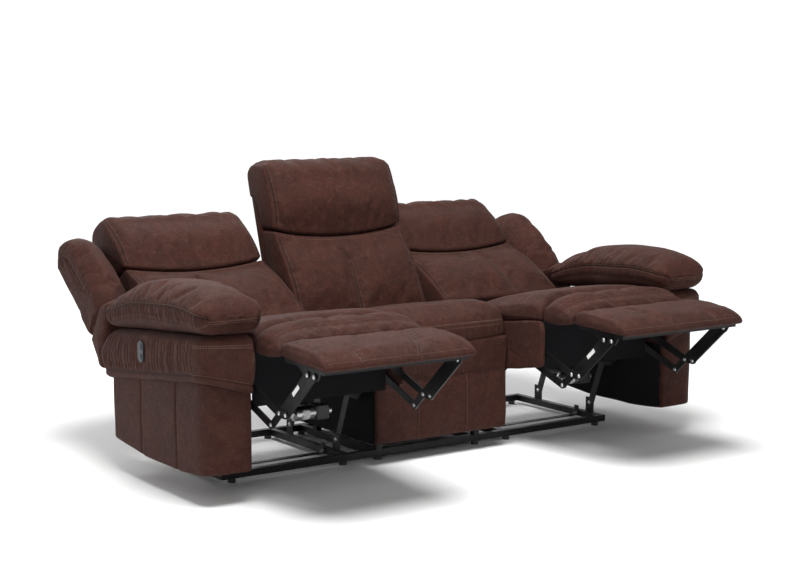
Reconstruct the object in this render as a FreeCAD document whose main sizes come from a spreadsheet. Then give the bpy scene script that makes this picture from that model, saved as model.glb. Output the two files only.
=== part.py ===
"""Power reclining sofa: two reclining end seats on swing links, a fixed middle seat and a steel base.

Everything stands as it does with both end seats reclined. Y runs to the back, Z up, X across the sofa.
The Y sizes in the sheet count from the line of the front feet, which feet_line_y places in the row frame.
"""

import FreeCAD, Part
import math
import os
import Sketcher

SIZES = [
    # place of the whole
    ("feet_line_y", -120.3),
    # welded base
    ("foot_radius", 14),
    ("foot_height", 14),
    ("rail_height", 25),
    ("rail_width", 24),
    ("rear_rail_y", 538),
    ("foot_outer_x", 838),
    ("foot_inner_x", 378),
    ("foot_middle_x", 225),
    ("strap_y", 135),
    ("strap_thick", 4),
    ("strap_width", 24),
    ("strap_bend", 12),
    ("strap_rise", 40),
    ("middle_post_rise", 41),
    # places across one end seat
    ("seat_inner_x", 309),
    ("seat_outer_x", 918),
    ("mechanism_centre_x", 617.5),
    ("panel_thick", 13),
    ("plate_thick", 4),
    ("link_thick", 5),
    ("layer_gap", 1),
    ("pin_radius", 6),
    ("pin_slack", 0.06),
    ("link_width", 26),
    ("soft_gap", 0.4),
    # swing links that carry the end seat forward and up
    ("swing_length", 200),
    ("swing_ahead", 20.6),
    ("swing_front_y", 80),
    ("swing_rear_y", 410),
    ("swing_pivot_z", 75),
    ("swing_width", 30),
    ("post_width", 44),
    # footrest linkage
    ("lower_pivot_y", -161),
    ("lower_pivot_z", 428),
    ("lower_link_length", 300),
    ("lower_link_drop", 20),
    ("upper_link_length", 221),
    ("upper_link_rise", 42),
    ("pair_spacing", 70),
    ("front_spacing", 40),
    ("torque_tube_radius", 11),
    # recline pivot and angle
    ("recline_pivot_y", 278),
    ("recline_pivot_z", 319),
    ("recline_angle", 32),
    ("glide_forward", 200.5),
    ("glide_up", 34.9),
    ("hinge_arm_width", 40),
    ("hinge_arm_rise", 156),
    ("hinge_arm_back", 127),
    # footrest
    ("pad_inner_x", 323.5),
    ("pad_outer_x", 911),
    ("pad_rear_y", -454),
    ("pad_base_z", 510),
    ("pad_length", 283),
    ("pad_thick", 42),
    ("pad_tilt", 3),
    ("pad_crown", 8),
    ("pad_heel_round", 10),
    ("pad_heel_back", 30),
    ("pad_heel_swell", 4),
    ("pad_nose_round", 14),
    ("pad_nose_drop", 8),
    ("board_thick", 12),
    ("board_rear_inset", 16),
    ("board_front_inset", 34),
    ("board_side_inset", 14),
    ("bracket_foot", 60),
    ("bracket_tip", 30),
    # margins of a side plate round the pivots that it carries
    ("plate_front_margin", 30),
    ("plate_rear_inset", 14),
    ("plate_low_margin", 24),
    ("plate_eye_back", 34),
    ("plate_eye_rise", 16),
    ("plate_heel_margin", 28),
    ("plate_heel_rise", 20),
    ("plate_toe_back", 22),
    ("plate_toe_drop", 26),
    ("plate_nose_drop", 22),
    # seat frame of an end seat
    ("deck_front_y", -285),
    ("deck_rear_y", 275),
    ("deck_front_z", 505),
    ("deck_slope", 0.12),
    ("deck_thick", 30),
    ("side_front_y", -300),
    ("side_low_z", 290),
    ("side_front_low_z", 331),
    ("side_shoulder_z", 478),
    ("side_belly_y", -53),
    ("dust_front_y", -238),
    ("dust_thick", 8),
    ("dust_low_z", 310),
    ("seat_rear_y", 188),
    ("seat_crown_z", 598),
    ("seat_rear_z", 502),
    ("seat_inner_inset", 2),
    ("seat_outer_inset", 12),
    ("seat_heel_in", 6),
    ("seat_heel_rise", 26),
    ("seat_crown_back", 90),
    ("seat_crown_drop", 6),
    ("seat_nose_back", 22),
    ("seat_nose_drop", 14),
    ("seat_front_drop", 34),
    # fabric bridge between seat and footrest
    ("bridge_ridge_y", -345),
    ("bridge_ridge_z", 606),
    ("bridge_fold_y", -398),
    ("bridge_fold_z", 588),
    ("bridge_inset", 10),
    ("bridge_seat_drop", 24),
    ("bridge_joint_rise", 8),
    ("bridge_joint_in", 6),
    ("bridge_belly_reach", 60),
    ("bridge_belly_drop", 14),
    # arm
    ("arm_outer_x", 1100),
    ("arm_front_y", -300),
    ("arm_rear_y", 415),
    ("arm_front_low_z", 108),
    ("arm_belly_z", 95),
    ("arm_rear_low_z", 124),
    ("arm_belly_front", 190),
    ("arm_belly_rear", 270),
    ("arm_belly_rise", 3),
    ("arm_rear_tuck", 12),
    ("band_front_z", 428),
    ("band_rear_z", 343),
    ("band_inner_drop", 56),
    ("band_swell", 18),
    ("band_top_front_z", 574),
    ("band_top_rear_z", 524),
    ("band_top_rear_y", 351),
    ("band_bulge_y", 463),
    ("band_bulge_z", 419),
    ("band_rear_reach", 16),
    ("pillow_front_y", -336),
    ("pillow_rear_y", 412),
    ("pillow_top_z", 742),
    ("pillow_inner_x", 884),
    ("pillow_outer_x", 1130),
    ("pillow_seam_rise", 98),
    ("pillow_end_thick", 26),
    ("pillow_foot_in", 14),
    ("pillow_seam_in", 2),
    ("pillow_shoulder", 38),
    ("pillow_swell", 9),
    # control plate and buttons
    ("control_y", 110),
    ("control_z", 472),
    ("control_half_height", 37),
    ("control_half_width", 20),
    ("control_thick", 6),
    ("button_radius", 10),
    ("button_spread", 17),
    ("button_proud", 2.5),
    ("button_travel", 2),
    ("button_slack", 0.4),
    # actuator under each end seat
    ("actuator_y", -20),
    ("actuator_z", 215),
    ("actuator_shift_x", 100),
    ("motor_radius", 25),
    ("motor_length", 80),
    ("gear_size", 56),
    ("drive_radius", 13),
    ("drive_length", 210),
    ("hanger_thick", 6),
    ("hanger_width", 42),
    # backs, measured with a back upright
    ("back_half_width", 302),
    ("back_inner_x", 322),
    ("back_outer_x", 914),
    ("shell_low_y", 588),
    ("shell_low_z", 400),
    ("shell_height", 630),
    ("shell_lean", 0.294),
    ("shell_thick", 45),
    ("lumbar_low_y", 402),
    ("lumbar_low_z", 456),
    ("crease_y", 594),
    ("crease_z", 800),
    ("lumbar_bulge", 26),
    ("lumbar_foot_rise", 12),
    ("lumbar_foot_back", 14),
    ("crease_round", 8),
    ("crease_gap", 5),
    ("head_top_z", 1070),
    ("head_front_y", 655),
    ("head_front_z", 1018),
    ("head_bulge", 24),
    ("head_back_z", 930),
    ("head_lip_rise", 6),
    ("head_lip_back", 12),
    ("head_flap_thick", 14),
    ("head_rear_swell", 12),
    ("head_rear_rise", 6),
    ("head_rear_in", 28),
    ("head_front_back", 34),
    ("head_draw_drop", 60),
    ("channel_depth", 7),
    ("channel_half_width", 10),
    # wing cushion beside an end back, measured upright
    ("wing_outer_x", 1098),
    ("wing_front_low_y", 460),
    ("wing_front_low_z", 653),
    ("wing_rear_low_y", 664),
    ("wing_rear_low_z", 560),
    ("wing_rear_top_y", 803),
    ("wing_rear_top_z", 912),
    ("wing_top_y", 690),
    ("wing_top_z", 982),
    ("wing_front_top_y", 556),
    ("wing_front_top_z", 930),
    ("wing_bulge", 22),
    # skirt of the wing, round the rear of the arm
    ("skirt_pillow_gap", 4),
    ("skirt_high_z", 618),
    ("skirt_belly_back", 16),
    ("skirt_belly_z", 560),
    ("skirt_band_gap", 12),
    ("skirt_foot_gap", 4),
    ("skirt_foot_drop", 52),
    ("skirt_foot_thick", 22),
    ("skirt_outer_inset", 4),
    # middle seat
    ("middle_half_width", 300),
    ("middle_front_y", -104),
    ("middle_low_z", 80),
    ("middle_deck_z", 425),
    ("middle_panel_thick", 22),
    ("middle_panel_low_z", 74),
    ("middle_crease_z", 306),
    ("middle_roll_in", 4),
    ("middle_foot_in", 2),
    ("middle_crown_z", 566),
    ("middle_rear_y", 380),
    ("middle_rear_z", 468),
    ("middle_step_y", 580),
    ("middle_pad_in", 8),
    ("middle_heel_reach", 60),
    ("middle_heel_in", 10),
    ("middle_heel_rise", 20),
    ("middle_crown_back", 150),
    ("middle_nose_back", 22),
    ("middle_nose_drop", 34),
    ("middle_front_drop", 66),
]


class Size:
    """A number together with the sheet expression that gives it."""

    def __init__(self, value, text):
        self.value = float(value)
        self.text = text

    def __add__(self, other):
        other = as_size(other)
        return Size(self.value + other.value, f"({self.text} + {other.text})")

    def __sub__(self, other):
        other = as_size(other)
        return Size(self.value - other.value, f"({self.text} - {other.text})")

    def __mul__(self, other):
        other = as_size(other)
        return Size(self.value * other.value, f"({self.text} * {other.text})")

    def __truediv__(self, other):
        other = as_size(other)
        return Size(self.value / other.value, f"({self.text} / {other.text})")

    def __neg__(self):
        return Size(-self.value, f"(0 - {self.text})")

    __radd__ = __add__
    __rmul__ = __mul__

    def __rsub__(self, other):
        return as_size(other) - self


def as_size(value):
    return value if isinstance(value, Size) else Size(value, f"({value!r})")


def sine(angle):
    return Size(math.sin(math.radians(angle.value)), f"sin({angle.text})")


def cosine(angle):
    return Size(math.cos(math.radians(angle.value)), f"cos({angle.text})")


doc = FreeCAD.newDocument("reclining_sofa")
sheet = doc.addObject("Spreadsheet::Sheet", "sizes")
for row, (alias, number) in enumerate(SIZES, start=1):
    sheet.set(f"A{row}", alias.replace("_", " "))
    sheet.set(f"B{row}", str(number))
    sheet.setAlias(f"B{row}", alias)
doc.recompute()


class Sizes:
    """Reads each size of the sheet by its name."""

    def __getattr__(self, alias):
        return Size(getattr(sheet, alias), f"sizes.{alias}")


S = Sizes()
nodes = {}


# Helpers for document objects


def bind(thing, where, size):
    thing.setExpression(where, as_size(size).text)


def keep(thing, node):
    thing.Label = node
    nodes[node] = thing
    return thing


def origin_plane(body, role):
    return next(f for f in body.Origin.OriginFeatures if getattr(f, "Role", "") == role)


def new_body(name):
    return doc.addObject("PartDesign::Body", name)


def add_sketch(body, name, role, offset):
    sketch = body.newObject("Sketcher::SketchObject", name)
    sketch.AttachmentSupport = [(origin_plane(body, role), "")]
    sketch.MapMode = "FlatFace"
    offset = as_size(offset)
    sketch.AttachmentOffset = FreeCAD.Placement(FreeCAD.Vector(0, 0, offset.value), FreeCAD.Rotation())
    bind(sketch, "AttachmentOffset.Base.z", offset)
    return sketch


def fix_point(sketch, geometry, position, across, up):
    for kind, size in (("DistanceX", across), ("DistanceY", up)):
        if abs(size.value) < 1e-9:
            on_axis = "Vertical" if kind == "DistanceX" else "Horizontal"
            index = sketch.addConstraint(Sketcher.Constraint(on_axis, -1, 1, geometry, position))
            continue
        index = sketch.addConstraint(Sketcher.Constraint(kind, -1, 1, geometry, position, size.value))
        bind(sketch, f"Constraints[{index}]", size)


def draw_polygon(sketch, corners):
    points = [(as_size(a), as_size(b)) for a, b in corners]
    first = sketch.GeometryCount
    count = len(points)
    for i in range(count):
        a, b = points[i], points[(i + 1) % count]
        start = FreeCAD.Vector(a[0].value, a[1].value, 0)
        end = FreeCAD.Vector(b[0].value, b[1].value, 0)
        sketch.addGeometry(Part.LineSegment(start, end), False)
    for i in range(count):
        after = first + (i + 1) % count
        sketch.addConstraint(Sketcher.Constraint("Coincident", first + i, 2, after, 1))
        fix_point(sketch, first + i, 1, *points[i])


def draw_circle(sketch, across, up, radius):
    across, up, radius = as_size(across), as_size(up), as_size(radius)
    centre = FreeCAD.Vector(across.value, up.value, 0)
    index = sketch.addGeometry(Part.Circle(centre, FreeCAD.Vector(0, 0, 1), radius.value), False)
    fix_point(sketch, index, 3, across, up)
    constraint = sketch.addConstraint(Sketcher.Constraint("Radius", index, radius.value))
    bind(sketch, f"Constraints[{constraint}]", radius)


def pad(body, sketch, name, length):
    feature = body.newObject("PartDesign::Pad", name)
    feature.Profile = sketch
    feature.Length = as_size(length).value
    bind(feature, "Length", length)
    doc.recompute()
    return feature


def row_y(y):
    return S.feet_line_y + y


def side_plate(name, start_x, thick, outline, holes=()):
    """A flat piece with its outline in YZ, from start_x along +X."""
    body = new_body(name)
    sketch = add_sketch(body, name + "_outline", "YZ_Plane", start_x)
    draw_polygon(sketch, [(row_y(y), z) for y, z in outline])
    for y, z, radius in holes:
        draw_circle(sketch, row_y(y), z, radius)
    pad(body, sketch, name + "_pad", thick)
    return body


def ruled_block(name, sections):
    """A solid between YZ outlines at several X."""
    body = new_body(name)
    sketches = []
    for number, (x, outline) in enumerate(sections):
        sketch = add_sketch(body, f"{name}_section{number}", "YZ_Plane", x)
        draw_polygon(sketch, [(row_y(y), z) for y, z in outline])
        sketches.append(sketch)
    doc.recompute()
    loft = body.newObject("PartDesign::AdditiveLoft", name + "_loft")
    loft.Profile = sketches[0]
    loft.Sections = sketches[1:]
    loft.Ruled = True
    doc.recompute()
    return body


def link(name, start_x, thick, pivots, width, holes=(), pins=()):
    """A flat bar with round ends through its pivots. Each pin is (y, z, radius, from_x, length)."""
    parts = []
    for number in range(len(pivots) - 1):
        parts.append(bar(f"{name}_bar{number}", start_x, thick, pivots[number], pivots[number + 1], width))
    for number, (y, z) in enumerate(pivots):
        parts.append(rod(f"{name}_end{number}", start_x, row_y(y), z, width / 2, thick))
    for number, (y, z, radius, from_x, length) in enumerate(pins):
        parts.append(rod(f"{name}_pin{number}", from_x, row_y(y), z, radius, length))
    solid = fuse(name + "_whole", parts)
    for number, (y, z, radius) in enumerate(holes):
        hole = rod(f"{name}_hole{number}", start_x - 1, row_y(y), z, radius, thick + 2)
        solid = cut(f"{name}_bored{number}", solid, hole)
    return solid


def bar(name, start_x, thick, start, end, width):
    """A straight strip between two pivots, as a box turned about X."""
    (ay, az), (by, bz) = [(as_size(y), as_size(z)) for y, z in (start, end)]
    dy, dz = by - ay, bz - az
    reach = math.hypot(dy.value, dz.value)
    box = doc.addObject("Part::Box", name)
    box.Length = as_size(thick).value
    box.Width = reach
    box.Height = as_size(width).value
    length = Size(reach, f"sqrt({dy.text} * {dy.text} + {dz.text} * {dz.text})")
    angle = Size(math.degrees(math.atan2(dz.value, dy.value)), f"atan2({dz.text}; {dy.text})")
    half = as_size(width) / 2
    base_y = row_y(ay) + half * dz / length
    base_z = az - half * dy / length
    box.Placement = FreeCAD.Placement(
        FreeCAD.Vector(as_size(start_x).value, base_y.value, base_z.value),
        FreeCAD.Rotation(FreeCAD.Vector(1, 0, 0), angle.value),
    )
    bind(box, "Length", thick)
    bind(box, "Width", length)
    bind(box, "Height", width)
    bind(box, "Placement.Base.x", start_x)
    bind(box, "Placement.Base.y", base_y)
    bind(box, "Placement.Base.z", base_z)
    bind(box, "Placement.Rotation.Angle", angle)
    return box


def rod(name, start_x, y, z, radius, length):
    """A round bar along X; y is already in the row frame."""
    cylinder = doc.addObject("Part::Cylinder", name)
    values = [as_size(v) for v in (start_x, y, z)]
    cylinder.Placement = FreeCAD.Placement(
        FreeCAD.Vector(*[v.value for v in values]), FreeCAD.Rotation(FreeCAD.Vector(0, 1, 0), 90)
    )
    bind(cylinder, "Radius", radius)
    bind(cylinder, "Height", length)
    for axis, value in zip("xyz", values):
        bind(cylinder, f"Placement.Base.{axis}", value)
    return cylinder


def upright(name, x, y, low_z, radius, height):
    """A round bar along Z."""
    cylinder = doc.addObject("Part::Cylinder", name)
    bind(cylinder, "Radius", radius)
    bind(cylinder, "Height", height)
    for axis, value in zip("xyz", (x, row_y(y), low_z)):
        bind(cylinder, f"Placement.Base.{axis}", value)
    return cylinder


def block(name, low, size):
    """A square block from its low corner; y counts from the feet line."""
    box = doc.addObject("Part::Box", name)
    for field, value in zip(("Length", "Width", "Height"), size):
        bind(box, field, value)
    for axis, value in zip("xyz", (low[0], row_y(low[1]), low[2])):
        bind(box, f"Placement.Base.{axis}", value)
    return box


def fuse(name, parts):
    whole = doc.addObject("Part::MultiFuse", name)
    whole.Shapes = parts
    whole.Refine = True
    return whole


def cut(name, base, tool):
    result = doc.addObject("Part::Cut", name)
    result.Base = base
    result.Tool = tool
    return result


def group(name, parts):
    together = doc.addObject("Part::Compound", name)
    together.Links = parts
    return together


def mirrored(name, source, plane_x):
    copy = doc.addObject("Part::Mirroring", name)
    copy.Source = source
    copy.Normal = FreeCAD.Vector(1, 0, 0)
    copy.Base = FreeCAD.Vector(as_size(plane_x).value, 0, 0)
    bind(copy, "Base.x", plane_x)
    return copy


def across_seat(name, source):
    """The same piece on the outer side of an end seat's mechanism."""
    return mirrored(name, source, S.mechanism_centre_x)


# Soft forms, as lofts through arcs and lines

STATIONS = (-1, -0.93, -0.8, -0.5, 0, 0.5, 0.8, 0.93, 1)


def curved_wire(corners, bulges, to_point):
    """A closed wire through corners; each edge rises by its bulge to the left, or is straight."""
    edges = []
    for number, (start, bulge) in enumerate(zip(corners, bulges)):
        end = corners[(number + 1) % len(corners)]
        da, db = end[0] - start[0], end[1] - start[1]
        chord = math.hypot(da, db)
        first, last = to_point(*start), to_point(*end)
        if abs(bulge) < 1e-6:
            edges.append(Part.LineSegment(first, last).toShape())
            continue
        middle = ((start[0] + end[0]) / 2, (start[1] + end[1]) / 2)
        top = (middle[0] - db / chord * bulge, middle[1] + da / chord * bulge)
        edges.append(Part.Arc(first, to_point(*top), last).toShape())
    return Part.Wire(edges)


def drawn_in(corners, bulges, anchor, share):
    """The same outline drawn in towards the anchor by a share."""
    k = 1 - share
    shrunk = [(anchor[0] + (a - anchor[0]) * k, anchor[1] + (b - anchor[1]) * k) for a, b in corners]
    return shrunk, [bulge * k for bulge in bulges]


def across_cushion(name, start_x, end_x, corners, bulges, anchor, draw, channels=(), soft_edges=()):
    """A cushion that runs along X, with its ends drawn in and a dip in its soft edges at each channel."""
    middle, half = (start_x + end_x) / 2, (end_x - start_x) / 2
    stations = [(s, 0.0) for s in STATIONS]
    width = S.channel_half_width.value / half
    for place in channels:
        s = (place - middle) / half
        stations = [item for item in stations if abs(item[0] - s) > 1.4 * width]
        stations += [(s - width, 0.0), (s, 1.0), (s + width, 0.0)]
    wires = []
    for s, dip in sorted(stations):
        outline, swell = drawn_in(corners, bulges, anchor, draw * abs(s) ** 5)
        for edge in soft_edges:
            swell[edge] -= math.copysign(S.channel_depth.value, swell[edge]) * dip
        wires.append(section_at(middle + half * s, outline, swell))
    return soft_solid(name, wires)


def crowned_cushion(name, start_x, end_x, corners, bulges, floor):
    """A cushion along X, on a floor that gives a height at each y; its ends sink towards the floor."""
    middle, half = (start_x + end_x) / 2, (end_x - start_x) / 2
    wires = []
    for s in STATIONS:
        k = 1 - 0.34 * abs(s) ** 5
        outline = [(y, floor(y) + (z - floor(y)) * k) for y, z in corners]
        wires.append(section_at(middle + half * s, outline, [bulge * k for bulge in bulges]))
    return soft_solid(name, wires)


def section_at(x, outline, swell):
    """One YZ outline of a cushion, at its place across the sofa."""
    feet = S.feet_line_y.value
    return curved_wire(outline, swell, lambda y, z: FreeCAD.Vector(x, feet + y, z))


def soft_solid(name, wires):
    feature = doc.addObject("Part::Feature", name)
    feature.Shape = Part.makeLoft(wires, True, True)
    return feature


# The upright back's frame goes to the reclined one by a turn about the recline pivot and the glide


def reclined_placement():
    turn = math.radians(S.recline_angle.value)
    pivot_y, pivot_z = S.recline_pivot_y.value, S.recline_pivot_z.value
    upright_y = pivot_y + S.glide_forward.value + S.feet_line_y.value
    upright_z = pivot_z - S.glide_up.value
    turned_y = upright_y * math.cos(turn) + upright_z * math.sin(turn)
    turned_z = -upright_y * math.sin(turn) + upright_z * math.cos(turn)
    shift = FreeCAD.Vector(0, pivot_y + S.feet_line_y.value - turned_y, pivot_z - turned_z)
    return FreeCAD.Placement(shift, FreeCAD.Rotation(FreeCAD.Vector(1, 0, 0), -S.recline_angle.value))


def recline(thing):
    """Binds a document object's placement to the reclined pose."""
    place = reclined_placement()
    thing.Placement = place
    turn_sin, turn_cos = sine(S.recline_angle), cosine(S.recline_angle)
    upright_y = row_y(S.recline_pivot_y + S.glide_forward)
    upright_z = S.recline_pivot_z - S.glide_up
    angle = -S.recline_angle if place.Rotation.Axis.x > 0 else S.recline_angle
    bind(thing, "Placement.Rotation.Angle", angle)
    bind(thing, "Placement.Base.y", row_y(S.recline_pivot_y) - upright_y * turn_cos - upright_z * turn_sin)
    bind(thing, "Placement.Base.z", S.recline_pivot_z + upright_y * turn_sin - upright_z * turn_cos)
    return thing


# Layers across one side of a mechanism, from the seat's side panel inwards

plate_x = S.seat_inner_x + S.panel_thick
lower_x = plate_x + S.plate_thick + S.layer_gap
upper_x = lower_x + S.link_thick + S.layer_gap
bracket_x = upper_x + S.link_thick + S.layer_gap
swing_x = bracket_x + S.link_thick + S.layer_gap
post_x = swing_x + S.link_thick + S.layer_gap
rail_x = post_x + S.rail_width / 2
hole_radius = S.pin_radius + S.pin_slack
plate_pin_x = plate_x + S.layer_gap / 2
plate_pin_reach = lower_x - plate_pin_x
pin_reach = S.link_thick / 2 + S.layer_gap + S.link_thick - S.layer_gap / 5
outer_rail_x = S.mechanism_centre_x * 2 - rail_x
outer_post_x = S.mechanism_centre_x * 2 - post_x - S.link_thick

# Pivots, as (y, z)

lower_pivot = (S.lower_pivot_y, S.lower_pivot_z)
knee = (
    S.lower_pivot_y - S.lower_link_length * cosine(S.lower_link_drop),
    S.lower_pivot_z - S.lower_link_length * sine(S.lower_link_drop),
)
rise_y, rise_z = cosine(S.upper_link_rise), sine(S.upper_link_rise)
toe = (knee[0] - S.upper_link_length * rise_y, knee[1] + S.upper_link_length * rise_z)
rear_knee = (knee[0] + S.pair_spacing * rise_y, knee[1] - S.pair_spacing * rise_z)
rear_pivot = (S.lower_pivot_y + S.pair_spacing * rise_y, S.lower_pivot_z - S.pair_spacing * rise_z)
front_knee = (knee[0] - S.front_spacing, knee[1])
front_toe = (toe[0] - S.front_spacing, toe[1])
swing_lift = S.swing_length * cosine(S.swing_ahead)
swing_reach = S.swing_length * sine(S.swing_ahead)
swing_feet = [(S.swing_front_y, S.swing_pivot_z), (S.swing_rear_y, S.swing_pivot_z)]
swing_heads = [(y - swing_reach, z + swing_lift) for y, z in swing_feet]
recline_pivot = (S.recline_pivot_y, S.recline_pivot_z)


def deck_top(y):
    return S.deck_front_z - (y - S.deck_front_y) * S.deck_slope


# Steel base


def build_base():
    rail_top = S.foot_height + S.rail_height
    half_rail = S.rail_width / 2
    half_length = outer_rail_x + half_rail
    parts = []
    for name, y in (("front_rail", as_size(0)), ("rear_rail", S.rear_rail_y)):
        low = (-half_length, y - half_rail, S.foot_height)
        parts.append(block(name, low, (half_length * 2, S.rail_width, S.rail_height)))
    run = S.rear_rail_y - S.rail_width
    for side in (-1, 1):
        word = "left" if side < 0 else "right"
        for place, x in (("inner", rail_x), ("outer", outer_rail_x), ("middle", S.foot_middle_x)):
            low = (x * side - half_rail, half_rail, S.foot_height)
            parts.append(block(f"{word}_{place}_rail", low, (S.rail_width, run, S.rail_height)))
    keep(fuse("welded_base", parts), "base_frame")
    posts = []
    for side in (-1, 1):
        word = "left" if side < 0 else "right"
        for place, x in (("inner", post_x), ("outer", outer_post_x)):
            start = x if side > 0 else -x - S.link_thick
            for end, (y, z) in zip(("front", "rear"), swing_feet):
                name = f"{word}_{place}_{end}_post"
                low = (start, y - S.post_width / 2, rail_top)
                height = z + S.post_width / 2 - rail_top
                plate = block(name, low, (S.link_thick, S.post_width, height))
                hole = rod(f"{name}_hole", start, row_y(y), z, hole_radius, S.link_thick)
                posts.append(cut(f"{name}_bored", plate, hole))
        for end, y in (("front", as_size(0)), ("rear", S.rear_rail_y - S.rail_width * 5)):
            low = (S.foot_middle_x * side - half_rail, y - half_rail, rail_top)
            size = (S.rail_width, S.rail_width, S.middle_post_rise)
            posts.append(block(f"{word}_{end}_middle_post", low, size))
    keep(group("posts", posts), "seat_posts")
    feet = []
    for side in (-1, 1):
        for place, x in (("outer", S.foot_outer_x), ("inner", S.foot_inner_x), ("middle", S.foot_middle_x)):
            for end, y in (("front", as_size(0)), ("rear", S.rear_rail_y)):
                name = f"foot_{side}_{place}_{end}".replace("-", "m")
                feet.append(upright(name, x * side, y, 0, S.foot_radius, S.foot_height))
    keep(group("feet", feet), "glide_feet")
    straps = [cross_strap()]
    straps.append(mirrored("left_strap", straps[0], 0))
    keep(group("straps", straps), "cross_straps")


def cross_strap():
    """A flat strap between the side rails, with its ends bent up."""
    body = new_body("strap")
    sketch = add_sketch(body, "strap_outline", "XZ_Plane", -row_y(S.strap_y + S.strap_width / 2))
    left, right = rail_x + S.rail_width / 2, outer_rail_x - S.rail_width / 2
    low = S.foot_height + S.strap_thick
    high = low + S.strap_rise
    t, bend = S.strap_thick, S.strap_bend
    outline = [
        (left, high), (left, low + bend), (left + bend, low), (right - bend, low), (right, low + bend),
        (right, high), (right - t, high), (right - t, low + bend + t / 2), (right - bend - t / 2, low + t),
        (left + bend + t / 2, low + t), (left + t, low + bend + t / 2), (left + t, high),
    ]
    draw_polygon(sketch, outline)
    pad(body, sketch, "strap_pad", S.strap_width)
    return body


# Middle seat


def build_middle_seat():
    half = S.middle_half_width
    front_x = S.middle_front_y + S.middle_panel_thick + S.soft_gap
    rear, step_z = S.shell_low_y + S.shell_thick, S.shell_low_z - S.soft_gap
    outline = [
        (front_x, S.middle_low_z), (front_x, S.middle_deck_z), (S.middle_step_y, S.middle_deck_z),
        (S.middle_step_y, step_z), (rear, step_z), (rear, S.middle_low_z),
    ]
    keep(side_plate("middle_box", -half, half * 2, outline), "middle_seat_box")
    keep(middle_panel(-half.value, half.value), "middle_front_panel")
    keep(middle_cushion(-half.value, half.value), "middle_seat_cushion")
    build_back("middle", -S.back_half_width, S.back_half_width, False, (0.012,))


def middle_panel(x0, x1):
    front, thick = S.middle_front_y.value, S.middle_panel_thick.value
    low, high = S.middle_panel_low_z.value, S.middle_deck_z.value
    roll = front + S.middle_roll_in.value
    corners = [
        (front + thick, low), (front + thick, high), (roll, high), (roll, S.middle_crease_z.value),
        (front + S.middle_foot_in.value, low),
    ]
    anchor = (front + thick, (low + high) / 2)
    return across_cushion("front_panel", x0, x1, corners, [0, 0, 5, 4, 0], anchor, 0.02)


def middle_cushion(x0, x1):
    base = S.middle_deck_z.value + S.soft_gap.value
    front, rear, crown = S.middle_front_y.value, S.middle_rear_y.value, S.middle_crown_z.value
    heel = rear + S.middle_heel_reach.value
    corners = [
        (front + S.middle_pad_in.value, base), (heel, base),
        (heel - S.middle_heel_in.value, base + S.middle_heel_rise.value), (rear, S.middle_rear_z.value),
        (front + S.middle_crown_back.value, crown),
        (front + S.middle_nose_back.value, crown - S.middle_nose_drop.value),
        (front, crown - S.middle_front_drop.value),
    ]
    bulges = [0, 0, 0, 8, 9, 8, 6]
    return across_cushion("middle_pad", x0, x1, corners, bulges, ((front + rear) / 2, base), 0.06)


# Backs


def build_back(word, start_x, end_x, is_reclined, channel_shares):
    """Shell, lumbar cushion and head cushion of one back, drawn upright."""
    low_y, low_z, lean = S.shell_low_y, S.shell_low_z, S.shell_lean
    top_z = low_z + S.shell_height
    top_y = low_y + S.shell_height * lean
    outline = [(low_y, low_z), (top_y, top_z), (top_y + S.shell_thick, top_z), (low_y + S.shell_thick, low_z)]
    shell = side_plate(f"{word}_shell_board", start_x, end_x - start_x, outline)
    if is_reclined:
        pivot = (S.recline_pivot_y + S.glide_forward, S.recline_pivot_z - S.glide_up)
        root = (pivot[0] + S.hinge_arm_back, pivot[1] + S.hinge_arm_rise)
        pin = (pivot[0], pivot[1], S.pin_radius, plate_pin_x, plate_pin_reach)
        arm = link(f"{word}_hinge_arm", lower_x, S.link_thick, [pivot, root], S.hinge_arm_width, (), [pin])
        far = across_seat(f"{word}_far_hinge_arm", arm)
        shell = recline(fuse(f"{word}_back_frame", [shell, arm, far]))
    keep(shell, f"{word}_back_shell")
    place = reclined_placement() if is_reclined else FreeCAD.Placement()
    channels = [(start_x + (end_x - start_x) * (0.5 + share)).value for share in channel_shares]
    lumbar = lumbar_cushion(f"{word}_lumbar", start_x.value, end_x.value, channels)
    lumbar.Placement = place
    keep(lumbar, f"{word}_lumbar_cushion")
    head = head_cushion(f"{word}_head", start_x.value, end_x.value, top_y.value, top_z.value)
    head.Placement = place
    keep(head, f"{word}_head_cushion")


def shell_front(z):
    """The cushions lie on the shell's front face, at this y."""
    return S.shell_low_y.value + (z - S.shell_low_z.value) * S.shell_lean.value - S.soft_gap.value


def lumbar_cushion(name, x0, x1, channels):
    low, crease, rounding = S.lumbar_low_z.value, S.crease_z.value, S.crease_round.value
    front, crease_y = S.lumbar_low_y.value, S.crease_y.value
    corners = [
        (front, low + S.lumbar_foot_rise.value), (front + S.lumbar_foot_back.value, low),
        (shell_front(low), low), (shell_front(crease), crease),
        (crease_y + rounding, crease), (crease_y, crease - rounding),
    ]
    bulges = [-3, -4, 0, 0, -2, -S.lumbar_bulge.value]
    middle_z = (low + crease) / 2
    anchor = (shell_front(middle_z), middle_z)
    return across_cushion(name, x0, x1, corners, bulges, anchor, 0.05, channels, (5,))


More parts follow.
